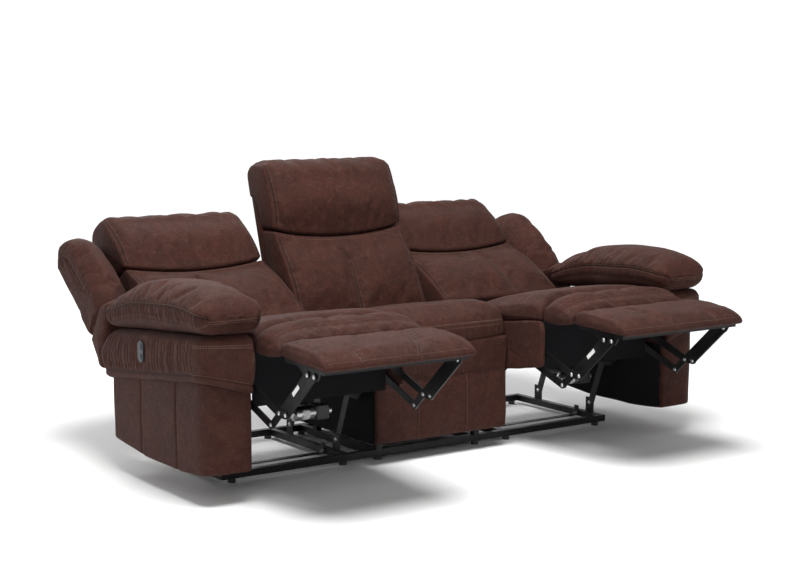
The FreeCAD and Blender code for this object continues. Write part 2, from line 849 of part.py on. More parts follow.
def head_cushion(name, x0, x1, top_y, top_z):
    """The head cushion wraps over the shell, so only its outer outline is drawn in at the ends."""
    gap, thick = S.soft_gap.value, S.shell_thick.value
    start, top = S.crease_z.value + S.crease_gap.value, S.head_top_z.value
    behind, shell_top, rear_low = top_y + thick, top_z + gap, S.head_back_z.value
    rear_line = shell_front(rear_low) + gap * 2 + thick
    lip_y, front = S.crease_y.value, S.head_front_y.value
    corners = [
        (lip_y, start + S.head_lip_rise.value), (lip_y + S.head_lip_back.value, start),
        (shell_front(start), start), (top_y - gap, shell_top), (behind + gap, shell_top),
        (rear_line, rear_low), (rear_line + S.head_flap_thick.value, rear_low),
        (behind + S.head_rear_swell.value, shell_top + S.head_rear_rise.value),
        (behind - S.head_rear_in.value, top), (front + S.head_front_back.value, top),
        (front, S.head_front_z.value),
    ]
    bulges = [-2, 0, 0, 0, 0, 0, 0, -8, -3, -9, -S.head_bulge.value]
    anchor = ((top_y + behind) / 2, shell_top - S.head_draw_drop.value)
    outer = {0, 7, 8, 9, 10}
    middle, half = (x0 + x1) / 2, (x1 - x0) / 2
    wires = []
    for s in (-1, -0.95, -0.84, -0.55, 0, 0.55, 0.84, 0.95, 1):
        drawn, swell = drawn_in(corners, bulges, anchor, 0.09 * abs(s) ** 8)
        outline = [drawn[i] if i in outer else corner for i, corner in enumerate(corners)]
        wires.append(section_at(middle + half * s, outline, swell))
    return soft_solid(name, wires)


# One end seat, drawn on the right; the left one mirrors it


def build_carriage():
    front, rear = S.deck_front_y, S.deck_rear_y
    deck_low = [(front, deck_top(front) - S.deck_thick), (front, deck_top(front))]
    outline = deck_low + [(rear, deck_top(rear)), (rear, deck_top(rear) - S.deck_thick)]
    deck = side_plate("deck", S.seat_inner_x, S.seat_outer_x - S.seat_inner_x, outline)
    outline = [
        (S.side_front_y, S.side_front_low_z), (S.side_front_y, S.side_shoulder_z), (front, deck_top(front)),
        (rear, deck_top(rear)), (rear, S.side_low_z + S.panel_thick), (S.side_belly_y, S.side_low_z),
    ]
    side = side_plate("seat_side", S.seat_inner_x, S.panel_thick, outline)
    pieces = {"seat_deck": fuse("deck_and_side", [deck, side])}
    y, behind = S.dust_front_y, S.dust_front_y + S.dust_thick
    outline = [
        (y, S.dust_low_z), (y, deck_top(y) - S.deck_thick), (behind, deck_top(behind) - S.deck_thick),
        (behind, S.dust_low_z),
    ]
    pieces["front_dust_panel"] = side_plate("dust", post_x, (S.mechanism_centre_x - post_x) * 2, outline)
    pieces["side_plates"] = build_side_plates()
    return pieces


def build_side_plates():
    front_y, rear_y = S.lower_pivot_y - S.plate_front_margin, S.recline_pivot_y - S.plate_rear_inset
    (front_head_y, front_head_z), (rear_head_y, rear_head_z) = swing_heads
    low, heel = front_head_z - S.plate_low_margin, rear_head_y + S.plate_heel_margin
    outline = [
        (front_y, deck_top(front_y) - S.deck_thick), (rear_y, deck_top(rear_y) - S.deck_thick),
        (S.recline_pivot_y + S.plate_eye_back, S.recline_pivot_z + S.plate_eye_rise),
        (heel, rear_head_z + S.plate_heel_rise), (heel, low), (front_head_y - S.plate_heel_margin, low),
        (rear_pivot[0] - S.plate_toe_back, rear_pivot[1] - S.plate_toe_drop),
        (front_y, S.lower_pivot_z - S.plate_nose_drop),
    ]
    holes = [pivot + (hole_radius,) for pivot in (lower_pivot, rear_pivot, recline_pivot, *swing_heads)]
    near = side_plate("side_plate", plate_x, S.plate_thick, outline, holes)
    return group("plates", [near, across_seat("far_side_plate", near)])


def build_swing_links():
    pieces = {}
    half = S.link_thick / 2
    for end, foot, head in zip(("front", "rear"), swing_feet, swing_heads):
        base_pin = foot + (S.pin_radius, swing_x + half, half + S.layer_gap + S.link_thick)
        head_pin = head + (S.pin_radius, plate_pin_x, swing_x - plate_pin_x + half)
        pins = [base_pin, head_pin]
        near = link(f"{end}_swing", swing_x, S.link_thick, [foot, head], S.swing_width, (), pins)
        far = across_seat(f"far_{end}_swing", near)
        pieces[f"{end}_swing_links"] = group(f"{end}_swings", [near, far])
    return pieces


def build_footrest_links():
    pieces = {}
    pin = lower_pivot + (S.pin_radius, plate_pin_x, plate_pin_reach)
    near = link(
        "lower_link", lower_x, S.link_thick, [lower_pivot, knee, front_knee], S.link_width,
        [knee + (hole_radius,), front_knee + (hole_radius,)], [pin],
    )
    far = across_seat("far_lower_link", near)
    tube_start = lower_x + S.link_thick / 2
    tube = rod(
        "torque_tube", tube_start, row_y(S.lower_pivot_y), S.lower_pivot_z, S.torque_tube_radius,
        (S.mechanism_centre_x - tube_start) * 2,
    )
    pieces["lower_links"] = fuse("lower_pair", [near, far, tube])
    pin = rear_pivot + (S.pin_radius, plate_pin_x, plate_pin_reach)
    near = link(
        "lower_rear_link", lower_x, S.link_thick, [rear_pivot, rear_knee], S.link_width,
        [rear_knee + (hole_radius,)], [pin],
    )
    pieces["lower_rear_links"] = group("lower_rear_pair", [near, across_seat("far_lower_rear_link", near)])
    pin_start = upper_x + S.link_thick / 2 - pin_reach
    pins = [pivot + (S.pin_radius, pin_start, pin_reach) for pivot in (rear_knee, knee)]
    near = link(
        "upper_link", upper_x, S.link_thick, [rear_knee, toe], S.link_width, [toe + (hole_radius,)], pins
    )
    pieces["upper_links"] = group("upper_pair", [near, across_seat("far_upper_link", near)])
    pin = front_knee + (S.pin_radius, pin_start, pin_reach)
    near = link(
        "upper_front_link", upper_x, S.link_thick, [front_knee, front_toe], S.link_width,
        [front_toe + (hole_radius,)], [pin],
    )
    pieces["upper_front_links"] = group("upper_front_pair", [near, across_seat("far_upper_front_link", near)])
    return pieces


def build_footrest():
    slope = sine(S.pad_tilt) / cosine(S.pad_tilt)

    def base_z(y):
        return S.pad_base_z + (y - S.pad_rear_y) * slope

    def board_low(y):
        return base_z(y) - S.board_thick

    rear = S.pad_rear_y - S.board_rear_inset
    front = S.pad_rear_y - S.pad_length + S.board_front_inset
    outline = [(rear, base_z(rear)), (front, base_z(front)), (front, board_low(front)), (rear, board_low(rear))]
    start = S.pad_inner_x + S.board_side_inset
    board = side_plate("board", start, (S.mechanism_centre_x - start) * 2, outline)
    low = S.link_width / 2
    heel, tip = toe[0] + S.bracket_foot, front_toe[0] - S.bracket_tip
    outline = [
        (toe[0] + low, toe[1] - low), (heel, board_low(heel)), (tip, board_low(tip)),
        (front_toe[0] - low, front_toe[1] - low),
    ]
    pins = []
    for number, (y, z) in enumerate((toe, front_toe)):
        pin_start = bracket_x + S.link_thick / 2 - pin_reach
        pins.append(rod(f"bracket_pin{number}", pin_start, row_y(y), z, S.pin_radius, pin_reach))
    bracket = fuse("bracket_with_pins", [side_plate("bracket", bracket_x, S.link_thick, outline), *pins])
    board = fuse("board_and_brackets", [board, bracket, across_seat("far_bracket", bracket)])
    return {"footrest_board": board, "footrest_pad": footrest_pad(slope.value)}


def footrest_pad(slope):
    rear, low = S.pad_rear_y.value, S.pad_base_z.value + S.soft_gap.value
    front, front_low = rear - S.pad_length.value, low - S.pad_length.value * slope
    thick, heel, nose = S.pad_thick.value, S.pad_heel_round.value, S.pad_nose_round.value
    corners = [
        (front + nose / 2, front_low), (rear - heel / 2, low), (rear, low + heel),
        (rear - heel / 2, low + thick), (rear - S.pad_heel_back.value, low + thick + S.pad_heel_swell.value),
        (front + nose, front_low + thick), (front, front_low + thick - S.pad_nose_drop.value),
        (front, front_low + nose / 2),
    ]
    bulges = [0, 2, 2, 3, S.pad_crown.value, 3, 4, 1]
    anchor = ((front + rear) / 2, (low + front_low) / 2)
    x0, x1 = S.pad_inner_x.value, S.pad_outer_x.value
    return across_cushion("footrest_pad_form", x0, x1, corners, bulges, anchor, 0.035)


def build_seat_cushions():
    gap = S.soft_gap.value
    front, rear = S.deck_front_y.value, S.seat_rear_y.value
    end = S.deck_rear_y.value - S.seat_heel_in.value
    crown, outer = S.seat_crown_z.value, S.seat_outer_x.value

    def deck(y):
        return deck_top(as_size(y)).value + gap

    corners = [
        (front, deck(front)), (end, deck(end)), (end, deck(end) + S.seat_heel_rise.value),
        (rear, S.seat_rear_z.value), (front + S.seat_crown_back.value, crown - S.seat_crown_drop.value),
        (front + S.seat_nose_back.value, crown - S.seat_nose_drop.value),
        (front, crown - S.seat_front_drop.value),
    ]
    bulges = [0, 0, 0, 14, 4, 5, 0]
    x0, x1 = S.seat_inner_x.value + S.seat_inner_inset.value, outer - S.seat_outer_inset.value
    cushion = crowned_cushion("seat_form", x0, x1, corners, bulges, deck)
    joint_y, joint_z = S.pad_rear_y.value + gap, S.pad_base_z.value
    low = deck(front) - S.bridge_belly_drop.value
    corners = [
        (front - gap, deck(front)), (front - gap, crown - S.bridge_seat_drop.value),
        (S.bridge_ridge_y.value, S.bridge_ridge_z.value), (S.bridge_fold_y.value, S.bridge_fold_z.value),
        (joint_y, joint_z + S.pad_thick.value),
        (joint_y + S.bridge_joint_in.value, joint_z + S.bridge_joint_rise.value),
        (front - S.bridge_belly_reach.value, low),
    ]
    bulges = [0, 5, 5, 3, 0, 4, 3]
    x1 = outer - S.bridge_inset.value
    bridge = crowned_cushion("bridge_form", S.pad_inner_x.value, x1, corners, bulges, lambda y: low)
    return {"seat_cushion": cushion, "leg_bridge": bridge}


def build_arm():
    front, rear = S.arm_front_y, S.arm_rear_y
    low = [
        (front, S.arm_front_low_z), (front + S.arm_belly_front, S.arm_belly_z),
        (rear - S.arm_belly_rear, S.arm_belly_z + S.arm_belly_rise),
    ]
    swell, reach = S.band_swell, S.band_rear_reach
    panel_sections, band_sections = [], []
    slope = (S.band_rear_z - S.band_front_z) / (rear - front)
    tilt = S.band_inner_drop / (S.arm_outer_x - S.seat_outer_x)
    nose = front - swell
    for x, band_x in ((S.seat_outer_x, S.seat_outer_x), (S.arm_outer_x, S.arm_outer_x + swell)):
        drop = (S.arm_outer_x - x) * tilt
        front_z, rear_z = S.band_front_z - drop, S.band_rear_z - drop
        high = [(rear - S.arm_rear_tuck, S.arm_rear_low_z), (rear, rear_z), (front, front_z)]
        panel_sections.append((x, low + high))
        lift = (band_x - x) * tilt + S.soft_gap
        band_sections.append((band_x, [
            (nose, front_z - swell * slope + lift), (rear + reach, rear_z + slope * reach + lift),
            (S.band_bulge_y, S.band_bulge_z), (S.band_top_rear_y, S.band_top_rear_z),
            (nose, S.band_top_front_z),
        ]))
    return {
        "arm_panel": ruled_block("arm_panel_block", panel_sections),
        "arm_band": ruled_block("arm_band_block", band_sections),
        "arm_pillow": build_pillow(),
    }


def build_pillow():
    """A domed cushion along the arm, from XZ sections that each swell above and below the seam."""
    feet = S.feet_line_y.value
    y0, y1 = S.pillow_front_y.value, S.pillow_rear_y.value
    top, inner, outer = S.pillow_top_z.value, S.pillow_inner_x.value, S.pillow_outer_x.value
    nose = S.arm_front_y.value - S.band_swell.value
    slope = (S.band_top_rear_z.value - S.band_top_front_z.value) / (S.band_top_rear_y.value - nose)
    inner_rear = S.seat_outer_x.value + S.pillow_seam_in.value * 2
    foot, edge, thin = S.pillow_foot_in.value, S.pillow_seam_in.value, S.pillow_end_thick.value
    wires = []
    for share in (0, 0.03, 0.1, 0.22, 0.36, 0.5, 0.64, 0.78, 0.9, 0.97, 1):
        y = y0 + (y1 - y0) * share
        base = S.band_top_front_z.value + slope * (y - nose) + S.soft_gap.value
        round_front = 1 - max(0.0, 1 - share / 0.16) ** 2.6
        round_rear = 1 - 0.8 * max(0.0, (share - 0.34) / 0.66) ** 2.2
        height = thin + (top - thin - base) * min(round_front, round_rear)
        side = 1 - 0.05 * max(0.0, 1 - share / 0.1) - 0.06 * max(0.0, (share - 0.85) / 0.15)
        near = inner + (inner_rear - inner) * min(1.0, max(0.0, (share - 0.36) / 0.26))
        centre, half = (near + outer) / 2, (outer - near) / 2 * side
        near, far = max(near, centre - half), centre + half
        seam = base + min(S.pillow_seam_rise.value, 0.5 * height)
        crest = base + height
        shoulder = min(S.pillow_shoulder.value, 0.3 * (far - near))
        rise = crest - (crest - seam) * 0.22
        corners = [
            (near + foot, base), (far - foot, base), (far - edge, seam), (far - shoulder, rise),
            (near + shoulder, rise), (near + edge, seam),
        ]
        swell = min(S.pillow_swell.value, height * 0.1)
        bulges = [0, -swell, -swell, rise - crest, -swell, -swell]
        wires.append(curved_wire(corners, bulges, lambda x, z, y=y: FreeCAD.Vector(x, feet + y, z)))
    return soft_solid("pillow_form", wires)


def build_wing():
    """The wing's own cushion, drawn upright, whose front edge recedes to the outer side."""
    low_front = (S.wing_front_low_y.value, S.wing_front_low_z.value)
    low_rear = (S.wing_rear_low_y.value, S.wing_rear_low_z.value)
    top_rear = (S.wing_rear_top_y.value, S.wing_rear_top_z.value)
    crest = (S.wing_top_y.value, S.wing_top_z.value)
    top_front = (S.wing_front_top_y.value, S.wing_front_top_z.value)
    lean = (top_rear[0] - low_rear[0]) / (top_rear[1] - low_rear[1])

    def receded(corner, share):
        y, z = corner
        rear = low_rear[0] + (z - low_rear[1]) * lean
        return rear + (y - rear) * (1 - share), z

    x0, x1 = S.back_outer_x.value + S.soft_gap.value, S.wing_outer_x.value
    wires = []
    for share in (0, 0.1, 0.3, 0.6, 0.85, 1):
        back = wing_recess(share)
        corners = [
            moved_towards(low_front, low_rear, back), low_rear, top_rear, receded(crest, back),
            receded(top_front, back),
        ]
        bulges = [0, 0, -10, -12, -S.wing_bulge.value * (1 - back)]
        wires.append(section_at(x0 + (x1 - x0) * share, corners, bulges))
    wing = soft_solid("wing_form", wires)
    wing.Placement = reclined_placement()
    return {"wing_cushion": wing, "wing_skirt": build_skirt(low_front, low_rear)}


def wing_recess(share):
    """How far the wing's front has gone back, as a share of its depth, at a share of the way outwards."""
    return 0.3 * share ** 1.6


def moved_towards(start, end, share):
    return tuple(a + (b - a) * share for a, b in zip(start, end))


def build_skirt(low_front, low_rear):
    """The part of the wing that folds behind the arm, from the wing's lower edge in its reclined place."""
    turn, feet, gap = reclined_placement(), S.feet_line_y.value, S.soft_gap.value
    ends = [turn.multVec(FreeCAD.Vector(0, feet + y, z)) for y, z in (low_front, low_rear)]
    along = (ends[1] - ends[0]).normalize()
    inset = FreeCAD.Vector(0, along.z, -along.y) * gap
    top_front, top_rear = [(end.y + inset.y - feet, end.z + inset.z) for end in ends]
    rear, gap_behind = S.pillow_rear_y.value, S.skirt_pillow_gap.value
    band_y, band_z = S.band_bulge_y.value, S.band_bulge_z.value
    foot_y, foot_z = band_y + S.skirt_foot_gap.value, band_z - S.skirt_foot_drop.value
    band_gap = S.skirt_band_gap.value
    x0 = S.back_outer_x.value + gap
    x1 = S.wing_outer_x.value - S.skirt_outer_inset.value
    wires = []
    for share in (0, 0.25, 0.6, 0.8, 1):
        corners = [
            moved_towards(top_front, top_rear, wing_recess(share)), (rear + gap_behind, S.skirt_high_z.value),
            (rear + S.skirt_belly_back.value, S.skirt_belly_z.value), (band_y + band_gap, band_z + band_gap),
            (foot_y, foot_z), (foot_y + S.skirt_foot_thick.value, foot_z), top_rear,
        ]
        wires.append(section_at(x0 + (x1 - x0) * share, corners, [0] * len(corners)))
    return soft_solid("skirt_form", wires)


def build_controls():
    """An oval plate on the arm's outer side with two round push buttons."""
    back = S.arm_outer_x + S.band_swell + S.soft_gap
    body = new_body("control")
    sketch = add_sketch(body, "control_outline", "YZ_Plane", back)
    half_w, half_h = S.control_half_width, S.control_half_height
    inner = half_h - half_w
    centre_y = row_y(S.control_y)
    slot(sketch, centre_y, S.control_z, inner, half_w)
    for step in (-1, 1):
        radius = S.button_radius + S.button_slack
        draw_circle(sketch, centre_y, S.control_z + S.button_spread * step, radius)
    pad(body, sketch, "control_pad", S.control_thick)
    pieces = {"control_plate": body}
    start = back + S.control_thick + S.button_proud
    depth = S.control_thick + S.button_proud - S.button_travel - S.soft_gap
    for word, step in (("recline_button", 1), ("return_button", -1)):
        z = S.control_z + S.button_spread * step
        pieces[word] = rod(word + "_round", start - depth, centre_y, z, S.button_radius, depth)
    return pieces


def slot(sketch, across, up, half_length, radius):
    """A vertical slot: two arcs and two lines."""
    across, up = as_size(across), as_size(up)
    half, r = as_size(half_length), as_size(radius)
    high, low = up + half, up - half
    x, top, bottom = across.value, high.value, low.value
    normal = FreeCAD.Vector(0, 0, 1)
    upper = Part.Circle(FreeCAD.Vector(x, top, 0), normal, r.value)
    lower = Part.Circle(FreeCAD.Vector(x, bottom, 0), normal, r.value)
    a = sketch.addGeometry(Part.ArcOfCircle(upper, 0, math.pi), False)
    b = sketch.addGeometry(Part.ArcOfCircle(lower, math.pi, 2 * math.pi), False)
    ends = [
        (FreeCAD.Vector(x - r.value, top, 0), FreeCAD.Vector(x - r.value, bottom, 0)),
        (FreeCAD.Vector(x + r.value, bottom, 0), FreeCAD.Vector(x + r.value, top, 0)),
    ]
    left, right = [sketch.addGeometry(Part.LineSegment(*pair), False) for pair in ends]
    for first, place, second, other in ((a, 2, left, 1), (left, 2, b, 1), (b, 2, right, 1), (right, 2, a, 1)):
        sketch.addConstraint(Sketcher.Constraint("Tangent", first, place, second, other))
    fix_point(sketch, a, 3, across, high)
    fix_point(sketch, b, 3, across, low)
    index = sketch.addConstraint(Sketcher.Constraint("Radius", a, r.value))
    bind(sketch, f"Constraints[{index}]", r)


def build_actuator(word, centre_x):
    """Motor across the seat, gear housing, drive tube to the rear and a hanger up to the deck."""
    half = S.gear_size / 2
    y, z = S.actuator_y, S.actuator_z
    gear = block(f"{word}_gear", (centre_x, y - half, z - half), (S.gear_size, S.gear_size, S.gear_size))
    motor = rod(f"{word}_motor", centre_x - S.motor_length, row_y(y), z, S.motor_radius, S.motor_length)
    tube = doc.addObject("Part::Cylinder", f"{word}_drive_tube")
    tube.Placement = FreeCAD.Placement(FreeCAD.Vector(), FreeCAD.Rotation(FreeCAD.Vector(1, 0, 0), -90))
    bind(tube, "Radius", S.drive_radius)
    bind(tube, "Height", S.drive_length)
    for axis, value in zip("xyz", (centre_x + half, row_y(y + half), z)):
        bind(tube, f"Placement.Base.{axis}", value)
    top = deck_top(y + S.hanger_width / 2) - S.deck_thick
    low = (centre_x + half - S.hanger_thick / 2, y - S.hanger_width / 2, z)
    hanger = block(f"{word}_hanger", low, (S.hanger_thick, S.hanger_width, top - z))
    return fuse(f"{word}_actuator_unit", [gear, motor, tube, hanger])


def build_end_seats():
    pieces = {}
    pieces.update(build_carriage())
    pieces.update(build_swing_links())
    pieces.update(build_footrest_links())
    pieces.update(build_footrest())
    pieces.update(build_seat_cushions())
    pieces.update(build_arm())
    pieces.update(build_wing())
    pieces.update(build_controls())
    for word, piece in pieces.items():
        keep(piece, f"right_{word}")
        keep(mirrored(f"left_{word}_copy", piece, 0), f"left_{word}")
    build_back("right", S.back_inner_x, S.back_outer_x, True, (0.11,))
    for word in ("back_shell", "lumbar_cushion", "head_cushion"):
        keep(mirrored(f"left_{word}_copy", nodes[f"right_{word}"], 0), f"left_{word}")
    for word, side in (("right", 1), ("left", -1)):
        centre = S.mechanism_centre_x * side + S.actuator_shift_x
        keep(build_actuator(word, centre), f"{word}_actuator")


def check_and_write():
    doc.recompute()
    for thing in doc.Objects:
        if {"Invalid", "Error"} & set(thing.State):
            raise RuntimeError(f"{thing.Name} failed: {thing.State}")
    os.makedirs("parts", exist_ok=True)
    box = FreeCAD.BoundBox()
    for node, thing in nodes.items():
        shape = thing.Shape
        if shape.isNull() or not shape.isValid() or not shape.Solids:
            raise RuntimeError(f"{node} has no valid solid")
        if shape.Volume <= 0:
            raise RuntimeError(f"{node} is inside out")
        box.add(shape.BoundBox)
        shape.exportStep(f"parts/{node}.step")
    ends = (box.XMin, box.XMax, box.YMin, box.YMax, box.ZMin, box.ZMax)
    print(len(nodes), "nodes; box", [round(value, 2) for value in ends])


build_base()
build_middle_seat()
build_end_seats()
check_and_write()
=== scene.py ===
"""Looks of a three-seat power reclining sofa: upholstery, stitching, mechanism, studio.

Lengths in tables are millimetres. Y counts from the line of the front feet, as the sofa's drawings do.
"""

import itertools
import math

import bpy
import numpy as np
from bpy.props import FloatProperty, FloatVectorProperty, IntProperty, PointerProperty
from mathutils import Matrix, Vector, noise
from mathutils.bvhtree import BVHTree


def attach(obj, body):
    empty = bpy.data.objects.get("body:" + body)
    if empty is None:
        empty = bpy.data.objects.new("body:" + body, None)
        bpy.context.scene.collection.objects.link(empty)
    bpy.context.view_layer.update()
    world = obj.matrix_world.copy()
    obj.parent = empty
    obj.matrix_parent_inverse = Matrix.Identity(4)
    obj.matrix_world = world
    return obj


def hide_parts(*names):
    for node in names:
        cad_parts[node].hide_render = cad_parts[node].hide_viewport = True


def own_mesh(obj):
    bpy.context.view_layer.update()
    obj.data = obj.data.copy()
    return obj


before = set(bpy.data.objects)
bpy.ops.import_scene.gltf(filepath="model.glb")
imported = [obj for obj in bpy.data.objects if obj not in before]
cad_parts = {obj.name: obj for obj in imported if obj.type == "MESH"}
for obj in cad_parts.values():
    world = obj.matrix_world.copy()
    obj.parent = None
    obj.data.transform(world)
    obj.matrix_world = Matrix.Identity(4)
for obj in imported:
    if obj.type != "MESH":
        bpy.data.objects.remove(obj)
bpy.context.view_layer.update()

bl_info = {
    "name": "Reclining sofa looks",
    "version": (1, 0, 0),
    "blender": (4, 5, 0),
    "location": "View3D > Sidebar > Sofa",
    "description": "Builds the upholstery, stitching and mechanism finish of a reclining sofa",
    "category": "Object",
}

MM = 0.001
FEET_LINE = -0.1203
SIDES = (("right", 1), ("left", -1))
RECLINE_ANGLE = math.radians(32)
RECLINE_PIVOT = (278.0, 319.0)
UPRIGHT_PIVOT = (478.5, 284.1)
MECHANISM_CENTRE = 617.5
THREAD_RISE = 0.5


# Settings that a user would change


class SofaLeatherSettings(bpy.types.PropertyGroup):
    # Dark brown tints the random patches and mottle; 0.55 of it is the painted shade in the seam grooves.
    dark: FloatVectorProperty(
        name="Dark brown", description="Colour in the folds", subtype="COLOR", default=(0.0185, 0.0063, 0.0046)
    )
    middle: FloatVectorProperty(
        name="Brown", description="Main colour of the hide", subtype="COLOR", default=(0.0450, 0.0155, 0.0106)
    )
    red: FloatVectorProperty(
        name="Red brown", description="Colour of the warm patches", subtype="COLOR", default=(0.0545, 0.0162, 0.0103)
    )
    worn: FloatVectorProperty(
        name="Worn", description="Colour of the rubbed grain", subtype="COLOR", default=(0.098, 0.0465, 0.0365)
    )
    thread: FloatVectorProperty(
        name="Thread", description="Colour of the stitching", subtype="COLOR", default=(0.135, 0.068, 0.046)
    )
    grain: FloatProperty(
        name="Grain depth", description="Height of the pebbled grain", subtype="DISTANCE", default=0.0006
    )


class SofaCushionSettings(bpy.types.PropertyGroup):
    grid: FloatProperty(
        name="Grid", description="Distance between the mesh lines of a cushion, in mm", default=12.5, min=6
    )
    pressure: FloatProperty(name="Pressure", description="Pressure of the filling", default=4.0)
    looseness: FloatProperty(
        name="Looseness", description="Spare cloth over the foam, as a share", subtype="FACTOR", default=0.035
    )
    frames: IntProperty(name="Frames", description="Steps of the cloth simulation", default=20, min=5)


class SofaStitchSettings(bpy.types.PropertyGroup):
    length: FloatProperty(name="Stitch", description="Length of one stitch", subtype="DISTANCE", default=0.0065)
    pitch: FloatProperty(name="Pitch", description="Distance between stitches", subtype="DISTANCE", default=0.0095)
    radius: FloatProperty(name="Thread", description="Radius of the thread", subtype="DISTANCE", default=0.0012)


class SofaStageSettings(bpy.types.PropertyGroup):
    camera_place: FloatVectorProperty(
        name="Camera", description="Place of the camera", subtype="TRANSLATION", default=(-3.5523, -5.0441, 1.3869)
    )
    camera_yaw: FloatProperty(name="Yaw", description="Turn of the camera to the right", default=34.85)
    camera_pitch: FloatProperty(name="Pitch", description="Tilt of the camera down", default=7.335)
    lens: FloatProperty(name="Lens", description="Focal length in mm", default=73.98)
    floor: FloatVectorProperty(
        name="Floor", description="Colour of the floor", subtype="COLOR", default=(0.86, 0.86, 0.86)
    )


SETTINGS = {
    "sofa_leather": SofaLeatherSettings,
    "sofa_cushions": SofaCushionSettings,
    "sofa_stitches": SofaStitchSettings,
    "sofa_stage": SofaStageSettings,
}


def setting(group):
    return getattr(bpy.context.scene, group)


# Node trees


class Value:
    """A socket that works in arithmetic."""

    def __init__(self, nodes, socket):
        self.nodes = nodes
        self.socket = socket


def arithmetic(operation, swapped=False):
    """A method of Value that joins two values in one Math node."""

    def combine(self, other):
        pair = (other, self) if swapped else (self, other)
        return self.nodes.node("ShaderNodeMath", dict(enumerate(pair)), operation=operation)

    return combine


for short, operation in (("add", "ADD"), ("sub", "SUBTRACT"), ("mul", "MULTIPLY")):
    setattr(Value, f"__{short}__", arithmetic(operation))
    setattr(Value, f"__r{short}__", arithmetic(operation, True))
Value.__truediv__ = arithmetic("DIVIDE")
Value.__pow__ = arithmetic("POWER")


class Nodes:
    """A node tree, built node by node."""

    def node(self, kind, inputs=None, output=0, stops=None, **settings):
        made = self.tree.nodes.new(kind)
        for key, value in settings.items():
            setattr(made, key, value)
        if stops:
            ramp = made.color_ramp
            while len(ramp.elements) < len(stops):
                ramp.elements.new(0.5)
            for element, (position, shade) in zip(ramp.elements, stops):
                element.position = position
                element.color = (shade, shade, shade, 1)
        for key, value in (inputs or {}).items():
            if isinstance(value, Value):
                self.tree.links.new(value.socket, made.inputs[key])
            else:
                made.inputs[key].default_value = value
        return Value(self, made.outputs[output]) if made.outputs else None


class Finish(Nodes):
    """One material."""

    def __init__(self, name):
        self.material = bpy.data.materials.new(name)
        self.material.use_nodes = True
        self.tree = self.material.node_tree
        self.tree.nodes.clear()
        self.place = self.node("ShaderNodeTexCoord", output="Object")

    def noise(self, scale, detail=3.0, roughness=0.55, distortion=0.0, place=None):
        inputs = {
            "Vector": place or self.place, "Scale": scale, "Detail": detail,
            "Roughness": roughness, "Distortion": distortion,
        }
        return self.node("ShaderNodeTexNoise", inputs)

    def ramp(self, value, *stops):
        return self.node("ShaderNodeValToRGB", {"Fac": value}, stops=stops)

    def mix(self, share, first, second):
        inputs = {0: share, 6: paint(first), 7: paint(second)}
        return self.node("ShaderNodeMix", inputs, output=2, data_type="RGBA")

    def stretched(self, scale):
        return self.node("ShaderNodeMapping", {"Vector": self.place, "Scale": scale})

    def mark(self, name):
        return self.node("ShaderNodeAttribute", output=2, attribute_name=name)

    def bump(self, height, strength, distance, normal=None):
        inputs = {"Height": height, "Strength": strength, "Distance": distance}
        if normal:
            inputs["Normal"] = normal
        return self.node("ShaderNodeBump", inputs)

    def close(self, **sockets):
        """Ends the material in a Principled shader with these sockets."""
        shader = self.node(
            "ShaderNodeBsdfPrincipled", {key.replace("_", " "): value for key, value in sockets.items()}
        )
        self.node("ShaderNodeOutputMaterial", {"Surface": shader})
        return self.material


class Growth(Nodes):
    """One Geometry Nodes tree; given holds its inputs by title."""

    def __init__(self, name, **inputs):
        self.tree = bpy.data.node_groups.new(name, "GeometryNodeTree")
        face = self.tree.interface
        face.new_socket("Geometry", in_out="INPUT", socket_type="NodeSocketGeometry")
        for title, value in inputs.items():
            kind = "NodeSocketInt" if isinstance(value, int) else "NodeSocketFloat"
            face.new_socket(title, in_out="INPUT", socket_type=kind).default_value = value
        face.new_socket("Geometry", in_out="OUTPUT", socket_type="NodeSocketGeometry")
        source = self.tree.nodes.new("NodeGroupInput")
        self.given = {socket.name: Value(self, socket) for socket in source.outputs if socket.name}

    def named(self, name, kind="FLOAT"):
        return self.node("GeometryNodeInputNamedAttribute", {"Name": name}, data_type=kind)

    def set_on(self, points, form, aim, size):
        """Sets the form on every point with its Z axis along the aim."""
        turn = self.node("FunctionNodeAlignRotationToVector", {"Vector": aim}, axis="Z")
        inputs = {"Points": points, "Instance": form, "Rotation": turn, "Scale": size}
        return self.node("GeometryNodeInstanceOnPoints", inputs)

    def end(self, geometry, material):
        whole = self.node("GeometryNodeRealizeInstances", {"Geometry": geometry})
        painted = self.node("GeometryNodeSetMaterial", {"Geometry": whole, "Material": material})
        self.node("NodeGroupOutput", {"Geometry": painted})
        return self.tree


def grow(made, tree, **values):
    """Puts a Geometry Nodes tree on an object with its inputs set by their identifiers."""
    modifier = made.modifiers.new(tree.name, "NODES")
    modifier.node_group = tree
    for socket in tree.interface.items_tree:
        if socket.name in values:
            modifier[socket.identifier] = values[socket.name]


def settle(made):
    """Turns what the modifiers give into the object's plain mesh."""
    shaped = made.evaluated_get(bpy.context.evaluated_depsgraph_get())
    mesh = bpy.data.meshes.new_from_object(shaped)
    made.modifiers.clear()
    old = made.data
    made.data = mesh
    bpy.data.meshes.remove(old)
    mesh.name = made.name
    mesh.polygons.foreach_set("use_smooth", [True] * len(mesh.polygons))
    return made


trees = {}


def tree_of(name):
    if name not in trees:
        trees[name] = {"gathers": gathers_tree, "stitches": stitches_tree, "rivets": rivets_tree}[name]()
    return trees[name]


